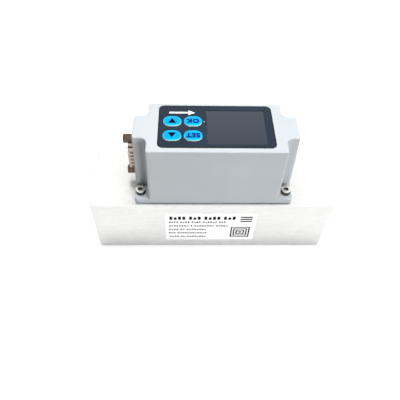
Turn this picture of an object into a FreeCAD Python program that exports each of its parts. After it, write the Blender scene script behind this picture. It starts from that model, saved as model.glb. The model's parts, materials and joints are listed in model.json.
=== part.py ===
import FreeCAD, Part
import math
import os

import Sketcher

# A thermal mass flow meter for gas: a square aluminium bar with a bore through it, and a moulded
# housing on top that holds the electronics, the display, four keys and a 9-way plug connector.
# Frame: origin at the middle of the underside, +X along the flow, the labelled side faces -Y.

V = FreeCAD.Vector

SIZES = {
    # Flow body
    "bar_long": 144.0,
    "bar_deep": 44.0,
    "bar_high": 44.0,
    "bar_edge": 0.6,
    "bore_z": 22.0,
    "channel_across": 18.0,
    "port_across": 24.12,
    "port_deep": 18.0,
    "port_lead": 1.3,
    "foot_hole_across": 3.3,
    "foot_hole_deep": 8.0,
    "foot_pitch_long": 120.0,
    "foot_pitch_deep": 32.0,
    # Flow straightener and screens, held in a seat behind each port by a retaining ring
    "seat_across": 22.0,
    "seat_lip": 1.0,
    "seat_gap": 0.05,
    "ring_thick": 1.0,
    "ring_groove_across": 23.0,
    "ring_width": 1.6,
    "ring_ear_radius": 1.44,
    "ring_eye_radius": 0.56,
    "ring_ear_turn": 8.0,
    "ring_mouth": 50.0,
    "screen_thick": 0.5,
    "screen_cell": 2.0,
    "screen_wire": 0.5,
    "screen_rim": 1.0,
    "straightener_long": 12.0,
    "straightener_rim": 0.8,
    "comb_cell": 2.8,
    "comb_wall": 0.4,
    "spacer_long": 4.0,
    "spacer_wall": 1.2,
    "outlet_spacer_long": 2.0,
    # Sensor plug, its O-ring and the sensor blade in the stream
    "sensor_hole_across": 14.0,
    "plug_long": 32.0,
    "plug_wide": 19.0,
    "plug_thick": 3.0,
    "plug_round": 3.0,
    "plug_gap": 0.05,
    "plug_screw_pitch": 24.0,
    "plug_screw_across": 2.4,
    "plug_screw_hole": 2.9,
    "plug_screw_head": 4.5,
    "plug_screw_head_high": 1.6,
    "plug_screw_long": 8.0,
    "plug_screw_slot": 0.8,
    "plug_screw_slot_deep": 0.8,
    "spigot_long": 11.0,
    "gland_from_top": 4.0,
    "gland_deep": 1.2,
    "gland_wide": 1.9,
    "blade_long": 9.0,
    "blade_thick": 1.0,
    "blade_below_axis": 5.0,
    "blade_gap": 0.05,
    "chip_side": 3.2,
    "chip_thick": 0.6,
    "socket_long": 13.0,
    "socket_wide": 5.0,
    "socket_high": 6.0,
    # Housing
    "gasket_thick": 0.5,
    "gasket_inset": 0.4,
    "total_high": 85.75,
    "top_long": 89.2,
    "top_deep": 37.7,
    "notch_long": 7.7,
    "neck_deep": 17.0,
    "draft": 1.75,
    "wall": 2.0,
    "roof_thick": 2.5,
    "ear_thick": 3.2,
    "notch_round": 4.0,
    "corner_round": 1.0,
    "top_round": 0.6,
    "ear_inset_long": 2.2,
    "ear_inset_deep": 4.35,
    "ear_hole_across": 3.4,
    # Cap screws of the housing
    "cap_head_across": 5.5,
    "cap_head_high": 3.0,
    "cap_shank": 2.9,
    "cap_shank_long": 8.0,
    "cap_hex": 2.5,
    "cap_hex_deep": 1.5,
    "thread_gap": 0.05,
    "screw_hole_spare": 1.5,
    # Front panel
    "fascia_long": 62.1,
    "fascia_deep": 32.7,
    "fascia_mid_y": 0.45,
    "fascia_round": 3.0,
    "fascia_thick": 0.8,
    "fascia_gap": 0.1,
    "recess_deep": 0.9,
    "window_long": 31.4,
    "window_deep": 26.2,
    "window_mid_x": 10.9,
    "window_mid_y": -0.1,
    "window_round": 0.8,
    "window_thick": 0.6,
    "window_ledge": 1.2,
    "lens_x": -6.4,
    "lens_y": 4.0,
    "lens_across": 1.0,
    "lens_gap": 0.08,
    "lens_collar": 1.6,
    "lens_collar_long": 1.5,
    "led_high": 0.7,
    # Keys and their switches
    "keys_mid_x": -18.0,
    "keys_mid_y": -1.6,
    "key_pitch_x": 11.2,
    "key_pitch_y": 11.0,
    "key_long": 9.8,
    "key_deep": 7.3,
    "key_proud": 0.8,
    "key_edge": 0.4,
    "key_gap": 0.2,
    "key_lip": 0.9,
    "key_lip_thick": 0.9,
    "key_rise": 0.1,
    "key_stem": 3.0,
    "switch_side": 6.0,
    "switch_high": 3.5,
    "plunger_across": 3.4,
    "plunger_gap": 0.2,
    "plunger_proud": 0.8,
    "plunger_sunk": 1.5,
    "plunger_well": 2.4,
    # Boards
    "board_thick": 1.6,
    "display_drop": 7.2,
    "board_end_gap": 1.4,
    "board_side_gap": 1.35,
    "boss_across": 4.6,
    "boss_inset_long": 2.3,
    "boss_inset_deep": 2.5,
    "boss_hole_across": 2.0,
    "boss_hole_deep": 5.0,
    "glass_thick": 1.8,
    "holder_rim": 0.9,
    "holder_gap": 0.3,
    "glass_gap": 0.1,
    "main_board_inset_long": 0.5,
    "main_board_inset_deep": 1.5,
    "standoff_long": 13.0,
    "standoff_across": 5.5,
    "standoff_stud": 5.0,
    "standoff_inset_long": 4.0,
    "standoff_inset_deep": 3.0,
    "board_screw_head": 4.4,
    "board_screw_head_high": 1.8,
    "board_screw_slot": 0.8,
    "board_screw_slot_deep": 0.9,
    "boss_screw_head": 3.6,
    "boss_screw_head_high": 1.4,
    "boss_screw_long": 4.0,
    "board_screw_long": 6.0,
    "board_screw_shank": 2.9,
    "board_hole_gap": 0.15,
    "link_long": 20.0,
    "link_wide": 5.0,
    "link_x": 14.0,
    # 9-way plug connector on the end of the housing
    "connector_drop": 21.75,
    "jack_pitch": 24.99,
    "dsub_seat_high": 32.0,
    "dsub_seat_deep": 13.2,
    "dsub_flange_high": 30.8,
    "dsub_flange_deep": 12.5,
    "dsub_flange_thick": 0.8,
    "dsub_flange_round": 1.5,
    "dsub_long": 16.9,
    "dsub_short": 14.0,
    "dsub_deep": 8.3,
    "dsub_round": 2.4,
    "dsub_wall": 0.5,
    "dsub_reach": 6.0,
    "dsub_gap": 0.3,
    "insulator_gap": 0.05,
    "insulator_face": 1.0,
    "insulator_rear_high": 19.2,
    "insulator_rear_deep": 10.8,
    "insulator_rear_long": 4.5,
    "pin_across": 1.0,
    "pin_gap": 0.03,
    "pin_pitch": 2.77,
    "pin_row_pitch": 2.84,
    "pin_sunk": 0.7,
    "pin_tail": 1.0,
    "io_board_high": 30.0,
    "io_board_deep": 12.0,
    "io_link_deep": 10.0,
    "io_link_high": 5.0,
    "io_link_lap": 4.0,
    "jack_hex": 4.75,
    "jack_long": 6.0,
    "jack_stem": 2.8,
    "jack_hole_across": 2.26,
    "jack_hole_deep": 4.8,
    "jack_panel_hole": 3.1,
    "jack_nut_across": 5.4,
    "jack_nut_long": 4.0,
    "jack_stem_stop": 0.3,
    # Rating label in a shallow recess on the front
    "label_long": 55.8,
    "label_high": 28.8,
    "label_mid_x": -0.9,
    "label_mid_z": 21.8,
    "label_round": 1.0,
    "label_thick": 0.12,
    "label_recess": 0.15,
    "label_gap": 0.1,
}

doc = FreeCAD.newDocument("gas_flow_meter")
sheet = doc.addObject("Spreadsheet::Sheet", "sizes")
for row, (alias, value) in enumerate(SIZES.items(), start=1):
    sheet.set(f"A{row}", alias)
    sheet.set(f"B{row}", str(value))
    sheet.setAlias(f"B{row}", alias)
doc.recompute()

# Places that several pieces share, as expressions on the sheet
GASKET_TOP = "(sizes.bar_high + sizes.gasket_thick)"
EAR_TOP = f"({GASKET_TOP} + sizes.ear_thick)"
CEILING = "(sizes.total_high - sizes.roof_thick)"
EAR_PITCH = (
    "(sizes.top_long - 2 * sizes.ear_inset_long)",
    "(sizes.top_deep - 2 * sizes.ear_inset_deep)",
)
RECESS_FLOOR = "(sizes.total_high - sizes.recess_deep)"
FASCIA_TOP = f"({RECESS_FLOOR} + sizes.fascia_thick)"
KEY_TOP = f"({FASCIA_TOP} + sizes.key_proud)"
LIP_TOP = f"({CEILING} - sizes.key_rise)"
DISPLAY_BOARD_TOP = f"({CEILING} - sizes.display_drop)"
DISPLAY_BOARD_BASE = f"({DISPLAY_BOARD_TOP} - sizes.board_thick)"
SWITCH_TOP = f"({DISPLAY_BOARD_TOP} + sizes.switch_high)"
PLUNGER_TOP = f"({SWITCH_TOP} + sizes.plunger_proud)"
MAIN_BOARD_BASE = "(sizes.bar_high + sizes.standoff_long)"
MAIN_BOARD_TOP = f"({MAIN_BOARD_BASE} + sizes.board_thick)"
DISPLAY_BOARD_LONG = "(sizes.top_long - 2 * (sizes.notch_long + sizes.wall + sizes.board_end_gap))"
DISPLAY_BOARD_DEEP = "(sizes.top_deep - 2 * (sizes.wall + sizes.board_side_gap))"
BOSS_PITCH = (
    f"({DISPLAY_BOARD_LONG} - 2 * sizes.boss_inset_long)",
    f"({DISPLAY_BOARD_DEEP} - 2 * sizes.boss_inset_deep)",
)
MAIN_BOARD_LONG = f"({DISPLAY_BOARD_LONG} - 2 * sizes.main_board_inset_long)"
MAIN_BOARD_DEEP = f"({DISPLAY_BOARD_DEEP} - 2 * sizes.main_board_inset_deep)"
STANDOFF_PITCH = (
    f"({MAIN_BOARD_LONG} - 2 * sizes.standoff_inset_long)",
    f"({MAIN_BOARD_DEEP} - 2 * sizes.standoff_inset_deep)",
)
BAR_END = "(sizes.bar_long / 2)"
PORT_FLOOR = f"({BAR_END} - sizes.port_deep)"
RING_OUTER_FACE = f"({PORT_FLOOR} - sizes.seat_lip)"
RING_INNER_FACE = f"({RING_OUTER_FACE} - sizes.ring_thick)"
STRAIGHTENER_FACE = f"({RING_INNER_FACE} - sizes.screen_thick)"
SPACER_FACE = f"({STRAIGHTENER_FACE} - sizes.straightener_long)"
INNER_SCREEN_FACE = f"({SPACER_FACE} - sizes.spacer_long)"
INLET_SHOULDER = f"({INNER_SCREEN_FACE} - sizes.screen_thick)"
OUTLET_SCREEN_FACE = f"({RING_INNER_FACE} - sizes.outlet_spacer_long)"
OUTLET_SHOULDER = f"({OUTLET_SCREEN_FACE} - sizes.screen_thick)"
SPIGOT_RADIUS = "(sizes.sensor_hole_across / 2 - sizes.plug_gap)"
GLAND_RADIUS = f"({SPIGOT_RADIUS} - sizes.gland_deep)"
PLUG_TOP = "(sizes.bar_high + sizes.plug_thick)"
PLUG_SCREW_PLACES = [("sizes.plug_screw_pitch / 2", "0"), ("-sizes.plug_screw_pitch / 2", "0")]
CONNECTOR_MID = "(sizes.total_high - sizes.connector_drop)"
DSUB_SEAT = "(sizes.top_long / 2)"
DSUB_PANEL_BACK = f"({DSUB_SEAT} - sizes.wall)"
DSUB_FLANGE_BACK = f"({DSUB_PANEL_BACK} - sizes.dsub_flange_thick)"
IO_BOARD_FACE = f"({DSUB_FLANGE_BACK} - sizes.insulator_rear_long)"
IO_BOARD_BACK = f"({IO_BOARD_FACE} - sizes.board_thick)"

FACE_TOLERANCE = 0.001


def size(alias):
    """A driving size as a plain number."""
    return getattr(sheet, alias)


def four_corners(pitch):
    """The corners of a rectangle about the origin, given as its two pitches."""
    corners = []
    for x_sign in ("", "-"):
        for y_sign in ("", "-"):
            corners.append((f"{x_sign}{pitch[0]} / 2", f"{y_sign}{pitch[1]} / 2"))
    return corners


def origin_feature(body, role):
    """The origin plane or axis of a body that has this role."""
    return next(feature for feature in body.Origin.OriginFeatures if feature.Role == role)


def new_body(label):
    return doc.addObject("PartDesign::Body", label)


def new_sketch(body, name, plane, offset=None):
    """A sketch on an origin plane of its body, moved along the plane's normal by an expression."""
    sketch = body.newObject("Sketcher::SketchObject", name)
    sketch.AttachmentSupport = (origin_feature(body, plane), [""])
    sketch.MapMode = "FlatFace"
    if offset is not None:
        sketch.setExpression("AttachmentOffset.Base.z", offset)
    return sketch


def bind_point(sketch, element, point, x, y):
    """Fix a point of the sketch at two expressions, starting from where it was drawn."""
    drawn = sketch.getPoint(element, point)
    for kind, place, axis, start in (("DistanceX", x, -2, drawn.x), ("DistanceY", y, -1, drawn.y)):
        if place == "0":
            sketch.addConstraint(Sketcher.Constraint("PointOnObject", element, point, axis))
        else:
            row = sketch.addConstraint(Sketcher.Constraint(kind, -1, 1, element, point, start))
            sketch.setExpression(f"Constraints[{row}]", place)


def polygon(sketch, corners):
    """A closed outline through corners given as pairs of expressions, anticlockwise."""
    first = sketch.GeometryCount
    count = len(corners)
    seed_radius = 20.0
    seeds = []
    for step in range(count):
        turn = 2 * math.pi * step / count
        seeds.append(V(seed_radius * math.cos(turn), seed_radius * math.sin(turn), 0))
    for step in range(count):
        sketch.addGeometry(Part.LineSegment(seeds[step], seeds[(step + 1) % count]))
    for step in range(count):
        following = first + (step + 1) % count
        sketch.addConstraint(Sketcher.Constraint("Coincident", first + step, 2, following, 1))
    for step, (x, y) in enumerate(corners):
        bind_point(sketch, first + step, 1, x, y)


def rectangle(sketch, mid_x, mid_y, long, deep):
    """A rectangle about a middle point, its sides given as expressions."""
    left, right = f"{mid_x} - ({long}) / 2", f"{mid_x} + ({long}) / 2"
    low, high = f"{mid_y} - ({deep}) / 2", f"{mid_y} + ({deep}) / 2"
    polygon(sketch, [(left, low), (right, low), (right, high), (left, high)])


def circle(sketch, x, y, radius):
    """A circle whose centre and radius are expressions."""
    element = sketch.addGeometry(Part.Circle(V(1, 1, 0), V(0, 0, 1), 1.0))
    bind_point(sketch, element, 3, x, y)
    row = sketch.addConstraint(Sketcher.Constraint("Radius", element, 1.0))
    sketch.setExpression(f"Constraints[{row}]", radius)


def pad(body, sketch, name, length, backwards=False):
    feature = body.newObject("PartDesign::Pad", name)
    feature.Profile = sketch
    feature.setExpression("Length", length)
    feature.Reversed = backwards
    doc.recompute()
    return feature


def pocket(body, sketch, name, depth, along_normal=False):
    """Cut a sketch away, against its normal or along it, and make sure that it cuts."""
    before = body.Shape.Volume
    feature = body.newObject("PartDesign::Pocket", name)
    feature.Profile = sketch
    feature.setExpression("Length", depth)
    feature.Reversed = along_normal
    doc.recompute()
    assert feature.Shape.Volume < before, f"{name} cuts nothing"
    return feature


def through_pocket(body, sketch, name):
    """Cut a sketch right through the body both ways."""
    feature = body.newObject("PartDesign::Pocket", name)
    feature.Profile = sketch
    feature.Type = "ThroughAll"
    feature.Midplane = True
    doc.recompute()
    return feature


def turned(body, name, plane, corners, offset=None, cut=False):
    """Revolve an outline, or cut it away, about the line from its last corner to its first."""
    sketch = new_sketch(body, f"{name}_profile", plane, offset)
    polygon(sketch, corners)
    kind = "PartDesign::Groove" if cut else "PartDesign::Revolution"
    feature = body.newObject(kind, name)
    feature.Profile = sketch
    feature.ReferenceAxis = (sketch, [f"Edge{len(corners)}"])
    feature.Angle = 360
    doc.recompute()
    return feature


def grid(body, features, pitch_x, pitch_y):
    """Repeat features at the four corners of a rectangle, from its corner at low X and low Y."""
    pattern = body.newObject("PartDesign::MultiTransform", f"{body.Label}_grid")
    pattern.Originals = features
    steps = []
    for axis, pitch in (("X_Axis", pitch_x), ("Y_Axis", pitch_y)):
        step = body.newObject("PartDesign::LinearPattern", f"{pattern.Label}_{axis}")
        step.Direction = (origin_feature(body, axis), [""])
        step.setExpression("Length", pitch)
        step.Occurrences = 2
        steps.append(step)
    pattern.Transformations = steps
    body.Tip = pattern
    doc.recompute()
    return pattern


def edges_where(shape, wanted):
    """Names of the edges whose two ends pass a test."""
    names = []
    for number, edge in enumerate(shape.Edges, start=1):
        ends = [vertex.Point for vertex in edge.Vertexes]
        if len(ends) == 2 and wanted(*ends):
            names.append(f"Edge{number}")
    return names


def is_upright(low, high):
    return math.hypot(low.x - high.x, low.y - high.y) < FACE_TOLERANCE


def is_near(value, target):
    return abs(value - target) < FACE_TOLERANCE


def round_edges(body, base, name, edges, radius):
    """Fillet the named edges of a feature, with a radius bound to an expression."""
    feature = body.newObject("PartDesign::Fillet", name)
    feature.Base = (base, edges)
    feature.setExpression("Radius", radius)
    doc.recompute()
    return feature


def round_upright_corners(body, base, name, radius):
    """Fillet every edge that stands along Z."""
    return round_edges(body, base, name, edges_where(base.Shape, is_upright), radius)


def side_faces(shape):
    """The faces that stand along Z, each with its name and the middle of it."""
    found = []
    for number, face in enumerate(shape.Faces, start=1):
        u_low, u_high, v_low, v_high = face.ParameterRange
        u, v = (u_low + u_high) / 2, (v_low + v_high) / 2
        if abs(face.normalAt(u, v).z) < FACE_TOLERANCE:
            found.append((f"Face{number}", face.valueAt(u, v)))
    return found


def draft_faces(body, base, name, faces, neutral_z, backwards=False):
    """Taper side faces from the flat face at a height, where they keep their place."""
    flat = [
        f"Face{number}"
        for number, face in enumerate(base.Shape.Faces, start=1)
        if is_near(face.BoundBox.ZMin, neutral_z) and is_near(face.BoundBox.ZMax, neutral_z)
    ]
    feature = body.newObject("PartDesign::Draft", name)
    feature.Base = (base, faces)
    feature.NeutralPlane = (base, flat[:1])
    feature.setExpression("Angle", "sizes.draft")
    feature.Reversed = backwards
    doc.recompute()
    return feature


def plate(label, mid_x, mid_y, long, deep, base_z, thick, corner=None):
    """A flat plate with its underside at a height, and upright corners rounded if asked."""
    body = new_body(label)
    outline = new_sketch(body, f"{label}_outline", "XY_Plane", base_z)
    rectangle(outline, mid_x, mid_y, long, deep)
    blank = pad(body, outline, f"{label}_blank", thick)
    if corner is not None:
        round_upright_corners(body, blank, f"{label}_corners", corner)
    return body


# Flow body


def flow_body():
    """The square bar: bore with a port and a seat at each end, and holes for all that it carries."""
    body = new_body("flow_body")
    section = new_sketch(body, "bar_section", "YZ_Plane", f"-{BAR_END}")
    rectangle(section, "0", "sizes.bar_high / 2", "sizes.bar_deep", "sizes.bar_high")
    blank = pad(body, section, "bar_blank", "sizes.bar_long")
    edges = body.newObject("PartDesign::Chamfer", "bar_edges")
    edges.Base = (blank, [f"Edge{number}" for number in range(1, len(blank.Shape.Edges) + 1)])
    edges.setExpression("Size", "sizes.bar_edge")
    doc.recompute()
    bore(body)
    sensor_seat = new_sketch(body, "sensor_seat", "XY_Plane", "sizes.bar_high")
    circle(sensor_seat, "0", "0", "sizes.sensor_hole_across / 2")
    pocket(body, sensor_seat, "sensor_hole", "sizes.bar_high - sizes.bore_z")
    drill(
        body,
        "housing_screw_holes",
        "sizes.cap_shank / 2 + sizes.thread_gap",
        "sizes.cap_shank_long - sizes.ear_thick - sizes.gasket_thick + sizes.screw_hole_spare",
        four_corners(EAR_PITCH),
    )
    drill(
        body,
        "standoff_holes",
        "sizes.board_screw_shank / 2 + sizes.thread_gap",
        "sizes.standoff_stud + sizes.screw_hole_spare",
        four_corners(STANDOFF_PITCH),
    )
    drill(
        body,
        "plug_screw_holes",
        "sizes.plug_screw_across / 2 + sizes.thread_gap",
        "sizes.plug_screw_long - sizes.plug_thick + sizes.screw_hole_spare",
        PLUG_SCREW_PLACES,
    )
    feet = new_sketch(body, "foot_marks", "XY_Plane")
    for x, y in four_corners(("sizes.foot_pitch_long", "sizes.foot_pitch_deep")):
        circle(feet, x, y, "sizes.foot_hole_across / 2")
    pocket(body, feet, "foot_holes", "sizes.foot_hole_deep", along_normal=True)
    recess = new_sketch(body, "label_outline", "XZ_Plane", "sizes.bar_deep / 2")
    long = "sizes.label_long + 2 * sizes.label_gap"
    high = "sizes.label_high + 2 * sizes.label_gap"
    rectangle(recess, "sizes.label_mid_x", "sizes.label_mid_z", long, high)
    pocket(body, recess, "label_recess", "sizes.label_recess")


def bore(body):
    """Port, ring groove and seat at both ends of the channel, cut in one turn about the bore."""
    channel = "sizes.bore_z + sizes.channel_across / 2"
    seat = "sizes.bore_z + sizes.seat_across / 2"
    groove = "sizes.bore_z + sizes.ring_groove_across / 2"
    port = "sizes.bore_z + sizes.port_across / 2"
    mouth = f"{port} + sizes.port_lead"
    inlet = [
        (f"-{BAR_END}", mouth),
        (f"-({BAR_END} - sizes.port_lead)", port),
        (f"-{PORT_FLOOR}", port),
        (f"-{PORT_FLOOR}", seat),
        (f"-{RING_OUTER_FACE}", seat),
        (f"-{RING_OUTER_FACE}", groove),
        (f"-{RING_INNER_FACE}", groove),
        (f"-{RING_INNER_FACE}", seat),
        (f"-{INLET_SHOULDER}", seat),
        (f"-{INLET_SHOULDER}", channel),
    ]
    outlet = [
        (OUTLET_SHOULDER, channel),
        (OUTLET_SHOULDER, seat),
        (RING_INNER_FACE, seat),
        (RING_INNER_FACE, groove),
        (RING_OUTER_FACE, groove),
        (RING_OUTER_FACE, seat),
        (PORT_FLOOR, seat),
        (PORT_FLOOR, port),
        (f"({BAR_END} - sizes.port_lead)", port),
        (BAR_END, mouth),
    ]
    axis = [(BAR_END, "sizes.bore_z"), (f"-{BAR_END}", "sizes.bore_z")]
    outline = axis[1:] + inlet + outlet + axis[:1]
    turned(body, "bore", "XZ_Plane", outline, cut=True)


def drill(body, name, radius, depth, places):
    """Blind holes down from the top of the bar."""
    marks = new_sketch(body, f"{name}_marks", "XY_Plane", "sizes.bar_high")
    for x, y in places:
        circle(marks, x, y, radius)
    pocket(body, marks, name, depth)


# Flow conditioning


def along_bore(label, shape, face, towards):
    """Show a shape that was drawn from the YZ plane, with its near face at an expression."""
    piece = doc.addObject("Part::Feature", label)
    piece.Shape = shape
    piece.setExpression("Placement.Base.x", f"{towards}{face}")
    piece.setExpression("Placement.Base.z", "sizes.bore_z")
    return piece


def disc_with_cells(radius, thick, cells):
    """A disc in the YZ plane, pierced by closed cells."""
    rim = Part.Wire([Part.makeCircle(radius, V(0, 0, 0), V(1, 0, 0))])
    face = Part.Face(rim)
    for corners in cells:
        hole = Part.Face(Part.makePolygon(corners + corners[:1]))
        face = face.cut(hole)
    return face.extrude(V(thick, 0, 0))


def polygon_cell(y, z, radius, sides):
    """Corners of a regular cell about a point of the YZ plane, with a flat side to +Y."""
    corners = []
    for side in range(sides):
        turn = math.pi * (2 * side + 1) / sides
        corners.append(V(0, y + radius * math.cos(turn), z + radius * math.sin(turn)))
    return corners


def square_cells(free_radius, side, pitch):
    """The square openings of a mesh that lie wholly inside a circle."""
    reach = int(free_radius / pitch) + 1
    half_diagonal = side / math.sqrt(2)
    cells = []
    for column in range(-reach, reach + 1):
        for row in range(-reach, reach + 1):
            if math.hypot(column * pitch, row * pitch) + half_diagonal < free_radius:
                cells.append(polygon_cell(column * pitch, row * pitch, half_diagonal, 4))
    return cells


def honeycomb_cells(free_radius, across_flats, pitch):
    """The hexagons of a honeycomb that lie wholly inside a circle, rows half a pitch apart."""
    reach = int(free_radius / pitch) + 2
    corner_radius = across_flats / math.sqrt(3)
    row_pitch = pitch * math.sqrt(3) / 2
    cells = []
    for row in range(-reach, reach + 1):
        shift = pitch / 2 if row % 2 else 0.0
        for column in range(-reach, reach + 1):
            y, z = column * pitch + shift, row * row_pitch
            if math.hypot(y, z) + corner_radius < free_radius:
                cells.append(polygon_cell(y, z, corner_radius, 6))
    return cells


def flow_conditioning():
    """Straightener, screens and spacers, each slid into the seat behind a port."""
    radius = size("seat_across") / 2 - size("seat_gap")
    thick = size("screen_thick")
    pitch = size("screen_cell") + size("screen_wire")
    mesh = square_cells(radius - size("screen_rim"), size("screen_cell"), pitch)
    screen = disc_with_cells(radius, thick, mesh)
    along_bore("inlet_screen", screen, RING_INNER_FACE, "-")
    along_bore("inner_screen", screen.copy(), INNER_SCREEN_FACE, "-")
    along_bore("outlet_screen", screen.copy(), OUTLET_SHOULDER, "")
    pitch = size("comb_cell") + size("comb_wall")
    comb = honeycomb_cells(radius - size("straightener_rim"), size("comb_cell"), pitch)
    straightener = disc_with_cells(radius, size("straightener_long"), comb)
    along_bore("flow_straightener", straightener, STRAIGHTENER_FACE, "-")
    tube("straightener_spacer", "sizes.spacer_long", f"-{SPACER_FACE}")
    tube("outlet_spacer", "sizes.outlet_spacer_long", OUTLET_SCREEN_FACE)


def tube(label, length, face):
    """A plain spacer tube in the seat."""
    body = new_body(label)
    outline = new_sketch(body, f"{label}_outline", "YZ_Plane", face)
    outer = "sizes.seat_across / 2 - sizes.seat_gap"
    circle(outline, "0", "sizes.bore_z", outer)
    circle(outline, "0", "sizes.bore_z", f"{outer} - sizes.spacer_wall")
    pad(body, outline, f"{label}_wall", length)


def retaining_ring(label, face):
    """An open spring ring that sits in the groove, with an eye in each end for the pliers."""
    body = new_body(label)
    outline = new_sketch(body, f"{label}_outline", "YZ_Plane", face)
    outer = "sizes.ring_groove_across / 2 - sizes.seat_gap"
    circle(outline, "0", "sizes.bore_z", outer)
    circle(outline, "0", "sizes.bore_z", f"{outer} - sizes.ring_width")
    pad(body, outline, f"{label}_ring", "sizes.ring_thick")
    ears = new_sketch(body, f"{label}_ears_outline", "YZ_Plane", face)
    ear_angle = "(90 - sizes.ring_mouth / 2 - sizes.ring_ear_turn)"
    eye_radius = f"({outer} - sizes.ring_width)"
    ear_y = f"{eye_radius} * cos({ear_angle})"
    ear_z = f"sizes.bore_z - {eye_radius} * sin({ear_angle})"
    for y in (ear_y, f"-{ear_y}"):
        circle(ears, y, ear_z, "sizes.ring_ear_radius")
    pad(body, ears, f"{label}_ears", "sizes.ring_thick")
    gap = new_sketch(body, f"{label}_gap_outline", "YZ_Plane", face)
    far = "sizes.ring_groove_across * sin(sizes.ring_mouth / 2)"
    down = "sizes.bore_z - sizes.ring_groove_across * cos(sizes.ring_mouth / 2)"
    polygon(gap, [("0", "sizes.bore_z"), (f"-{far}", down), (far, down)])
    through_pocket(body, gap, f"{label}_gap")
    eyes = new_sketch(body, f"{label}_eyes_outline", "YZ_Plane", face)
    for y in (ear_y, f"-{ear_y}"):
        circle(eyes, y, ear_z, "sizes.ring_eye_radius")
    through_pocket(body, eyes, f"{label}_eyes")


# Sensor


def sensor_plug():
    """A flange on the bar and a spigot down to the channel, with a gland and a slot for the blade."""
    body = new_body("sensor_plug")
    outline = new_sketch(body, "plug_outline", "XY_Plane", "sizes.bar_high")
    rectangle(outline, "0", "0", "sizes.plug_long", "sizes.plug_wide")
    flange = pad(body, outline, "plug_flange", "sizes.plug_thick")
    round_upright_corners(body, flange, "plug_corners", "sizes.plug_round")
    tip = "sizes.bar_high - sizes.spigot_long"
    gland_top = "sizes.bar_high - sizes.gland_from_top"
    gland_base = f"{gland_top} - sizes.gland_wide"
    spigot = [
        ("0", tip),
        (SPIGOT_RADIUS, tip),
        (SPIGOT_RADIUS, gland_base),
        (GLAND_RADIUS, gland_base),
        (GLAND_RADIUS, gland_top),
        (SPIGOT_RADIUS, gland_top),
        (SPIGOT_RADIUS, "sizes.bar_high"),
        ("0", "sizes.bar_high"),
    ]
    turned(body, "spigot", "XZ_Plane", spigot)
    slot = new_sketch(body, "slot_outline", "XY_Plane", PLUG_TOP)
    long = "sizes.blade_long + 2 * sizes.blade_gap"
    wide = "sizes.blade_thick + 2 * sizes.blade_gap"
    rectangle(slot, "0", "0", long, wide)
    through_pocket(body, slot, "blade_slot")
    marks = new_sketch(body, "plug_hole_marks", "XY_Plane", PLUG_TOP)
    for x, y in PLUG_SCREW_PLACES:
        circle(marks, x, y, "sizes.plug_screw_hole / 2")
    pocket(body, marks, "plug_holes", "sizes.plug_thick")


def plug_screws():
    """The two slotted screws that hold the plug's flange down on the bar."""
    body = new_body("plug_screws")
    heads = new_sketch(body, "plug_screw_heads_outline", "XY_Plane", PLUG_TOP)
    shanks = new_sketch(body, "plug_screw_shanks_outline", "XY_Plane", PLUG_TOP)
    head_top = f"{PLUG_TOP} + sizes.plug_screw_head_high"
    slots = new_sketch(body, "plug_screw_slots_outline", "XY_Plane", head_top)
    for x, y in PLUG_SCREW_PLACES:
        circle(heads, x, y, "sizes.plug_screw_head / 2")
        circle(shanks, x, y, "sizes.plug_screw_across / 2")
        rectangle(slots, x, y, "sizes.plug_screw_head", "sizes.plug_screw_slot")
    pad(body, heads, "plug_screw_heads", "sizes.plug_screw_head_high")
    pad(body, shanks, "plug_screw_shanks", "sizes.plug_screw_long", backwards=True)
    pocket(body, slots, "plug_screw_slots", "sizes.plug_screw_slot_deep")


def sensor_o_ring():
    """The O-ring, squeezed between the gland and the wall of the hole."""
    ring = doc.addObject("Part::Torus", "sensor_o_ring")
    section = f"((sizes.sensor_hole_across / 2 - {GLAND_RADIUS}) / 2 - sizes.plug_gap)"
    ring.setExpression("Radius1", f"({GLAND_RADIUS} + sizes.sensor_hole_across / 2) / 2")
    ring.setExpression("Radius2", section)
    height = "sizes.bar_high - sizes.gland_from_top - sizes.gland_wide / 2"
    ring.setExpression("Placement.Base.z", height)


def block(label, mid_x, mid_y, base_z, long, deep, high):
    """A plain box with its middle and underside at expressions."""
    box = doc.addObject("Part::Box", label)
    box.setExpression("Length", long)
    box.setExpression("Width", deep)
    box.setExpression("Height", high)
    box.setExpression("Placement.Base.x", f"{mid_x} - ({long}) / 2")
    box.setExpression("Placement.Base.y", f"{mid_y} - ({deep}) / 2")
    box.setExpression("Placement.Base.z", base_z)
    return box


def sensor():
    """The thin blade across the stream, its sensor chip, and the socket that it plugs into."""
    tip = "(sizes.bore_z - sizes.blade_below_axis)"
    high = f"{MAIN_BOARD_BASE} - {tip}"
    block("sensor_blade", "0", "0", tip, "sizes.blade_long", "sizes.blade_thick", high)
    side = "sizes.chip_side"
    chip_y = "(-(sizes.blade_thick + sizes.chip_thick) / 2)"
    chip_z = "sizes.bore_z - sizes.chip_side / 2"
    block("sensor_chip", "0", chip_y, chip_z, side, "sizes.chip_thick", side)
    body = new_body("sensor_socket")
    outline = new_sketch(body, "socket_outline", "XY_Plane", MAIN_BOARD_BASE)
    rectangle(outline, "0", "0", "sizes.socket_long", "sizes.socket_wide")
    pad(body, outline, "socket_block", "sizes.socket_high", backwards=True)
    slot = new_sketch(body, "socket_slot_outline", "XY_Plane", MAIN_BOARD_BASE)
    long = "sizes.blade_long + 2 * sizes.blade_gap"
    wide = "sizes.blade_thick + 2 * sizes.blade_gap"
    rectangle(slot, "0", "0", long, wide)
    through_pocket(body, slot, "socket_slot")


# Housing


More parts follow.
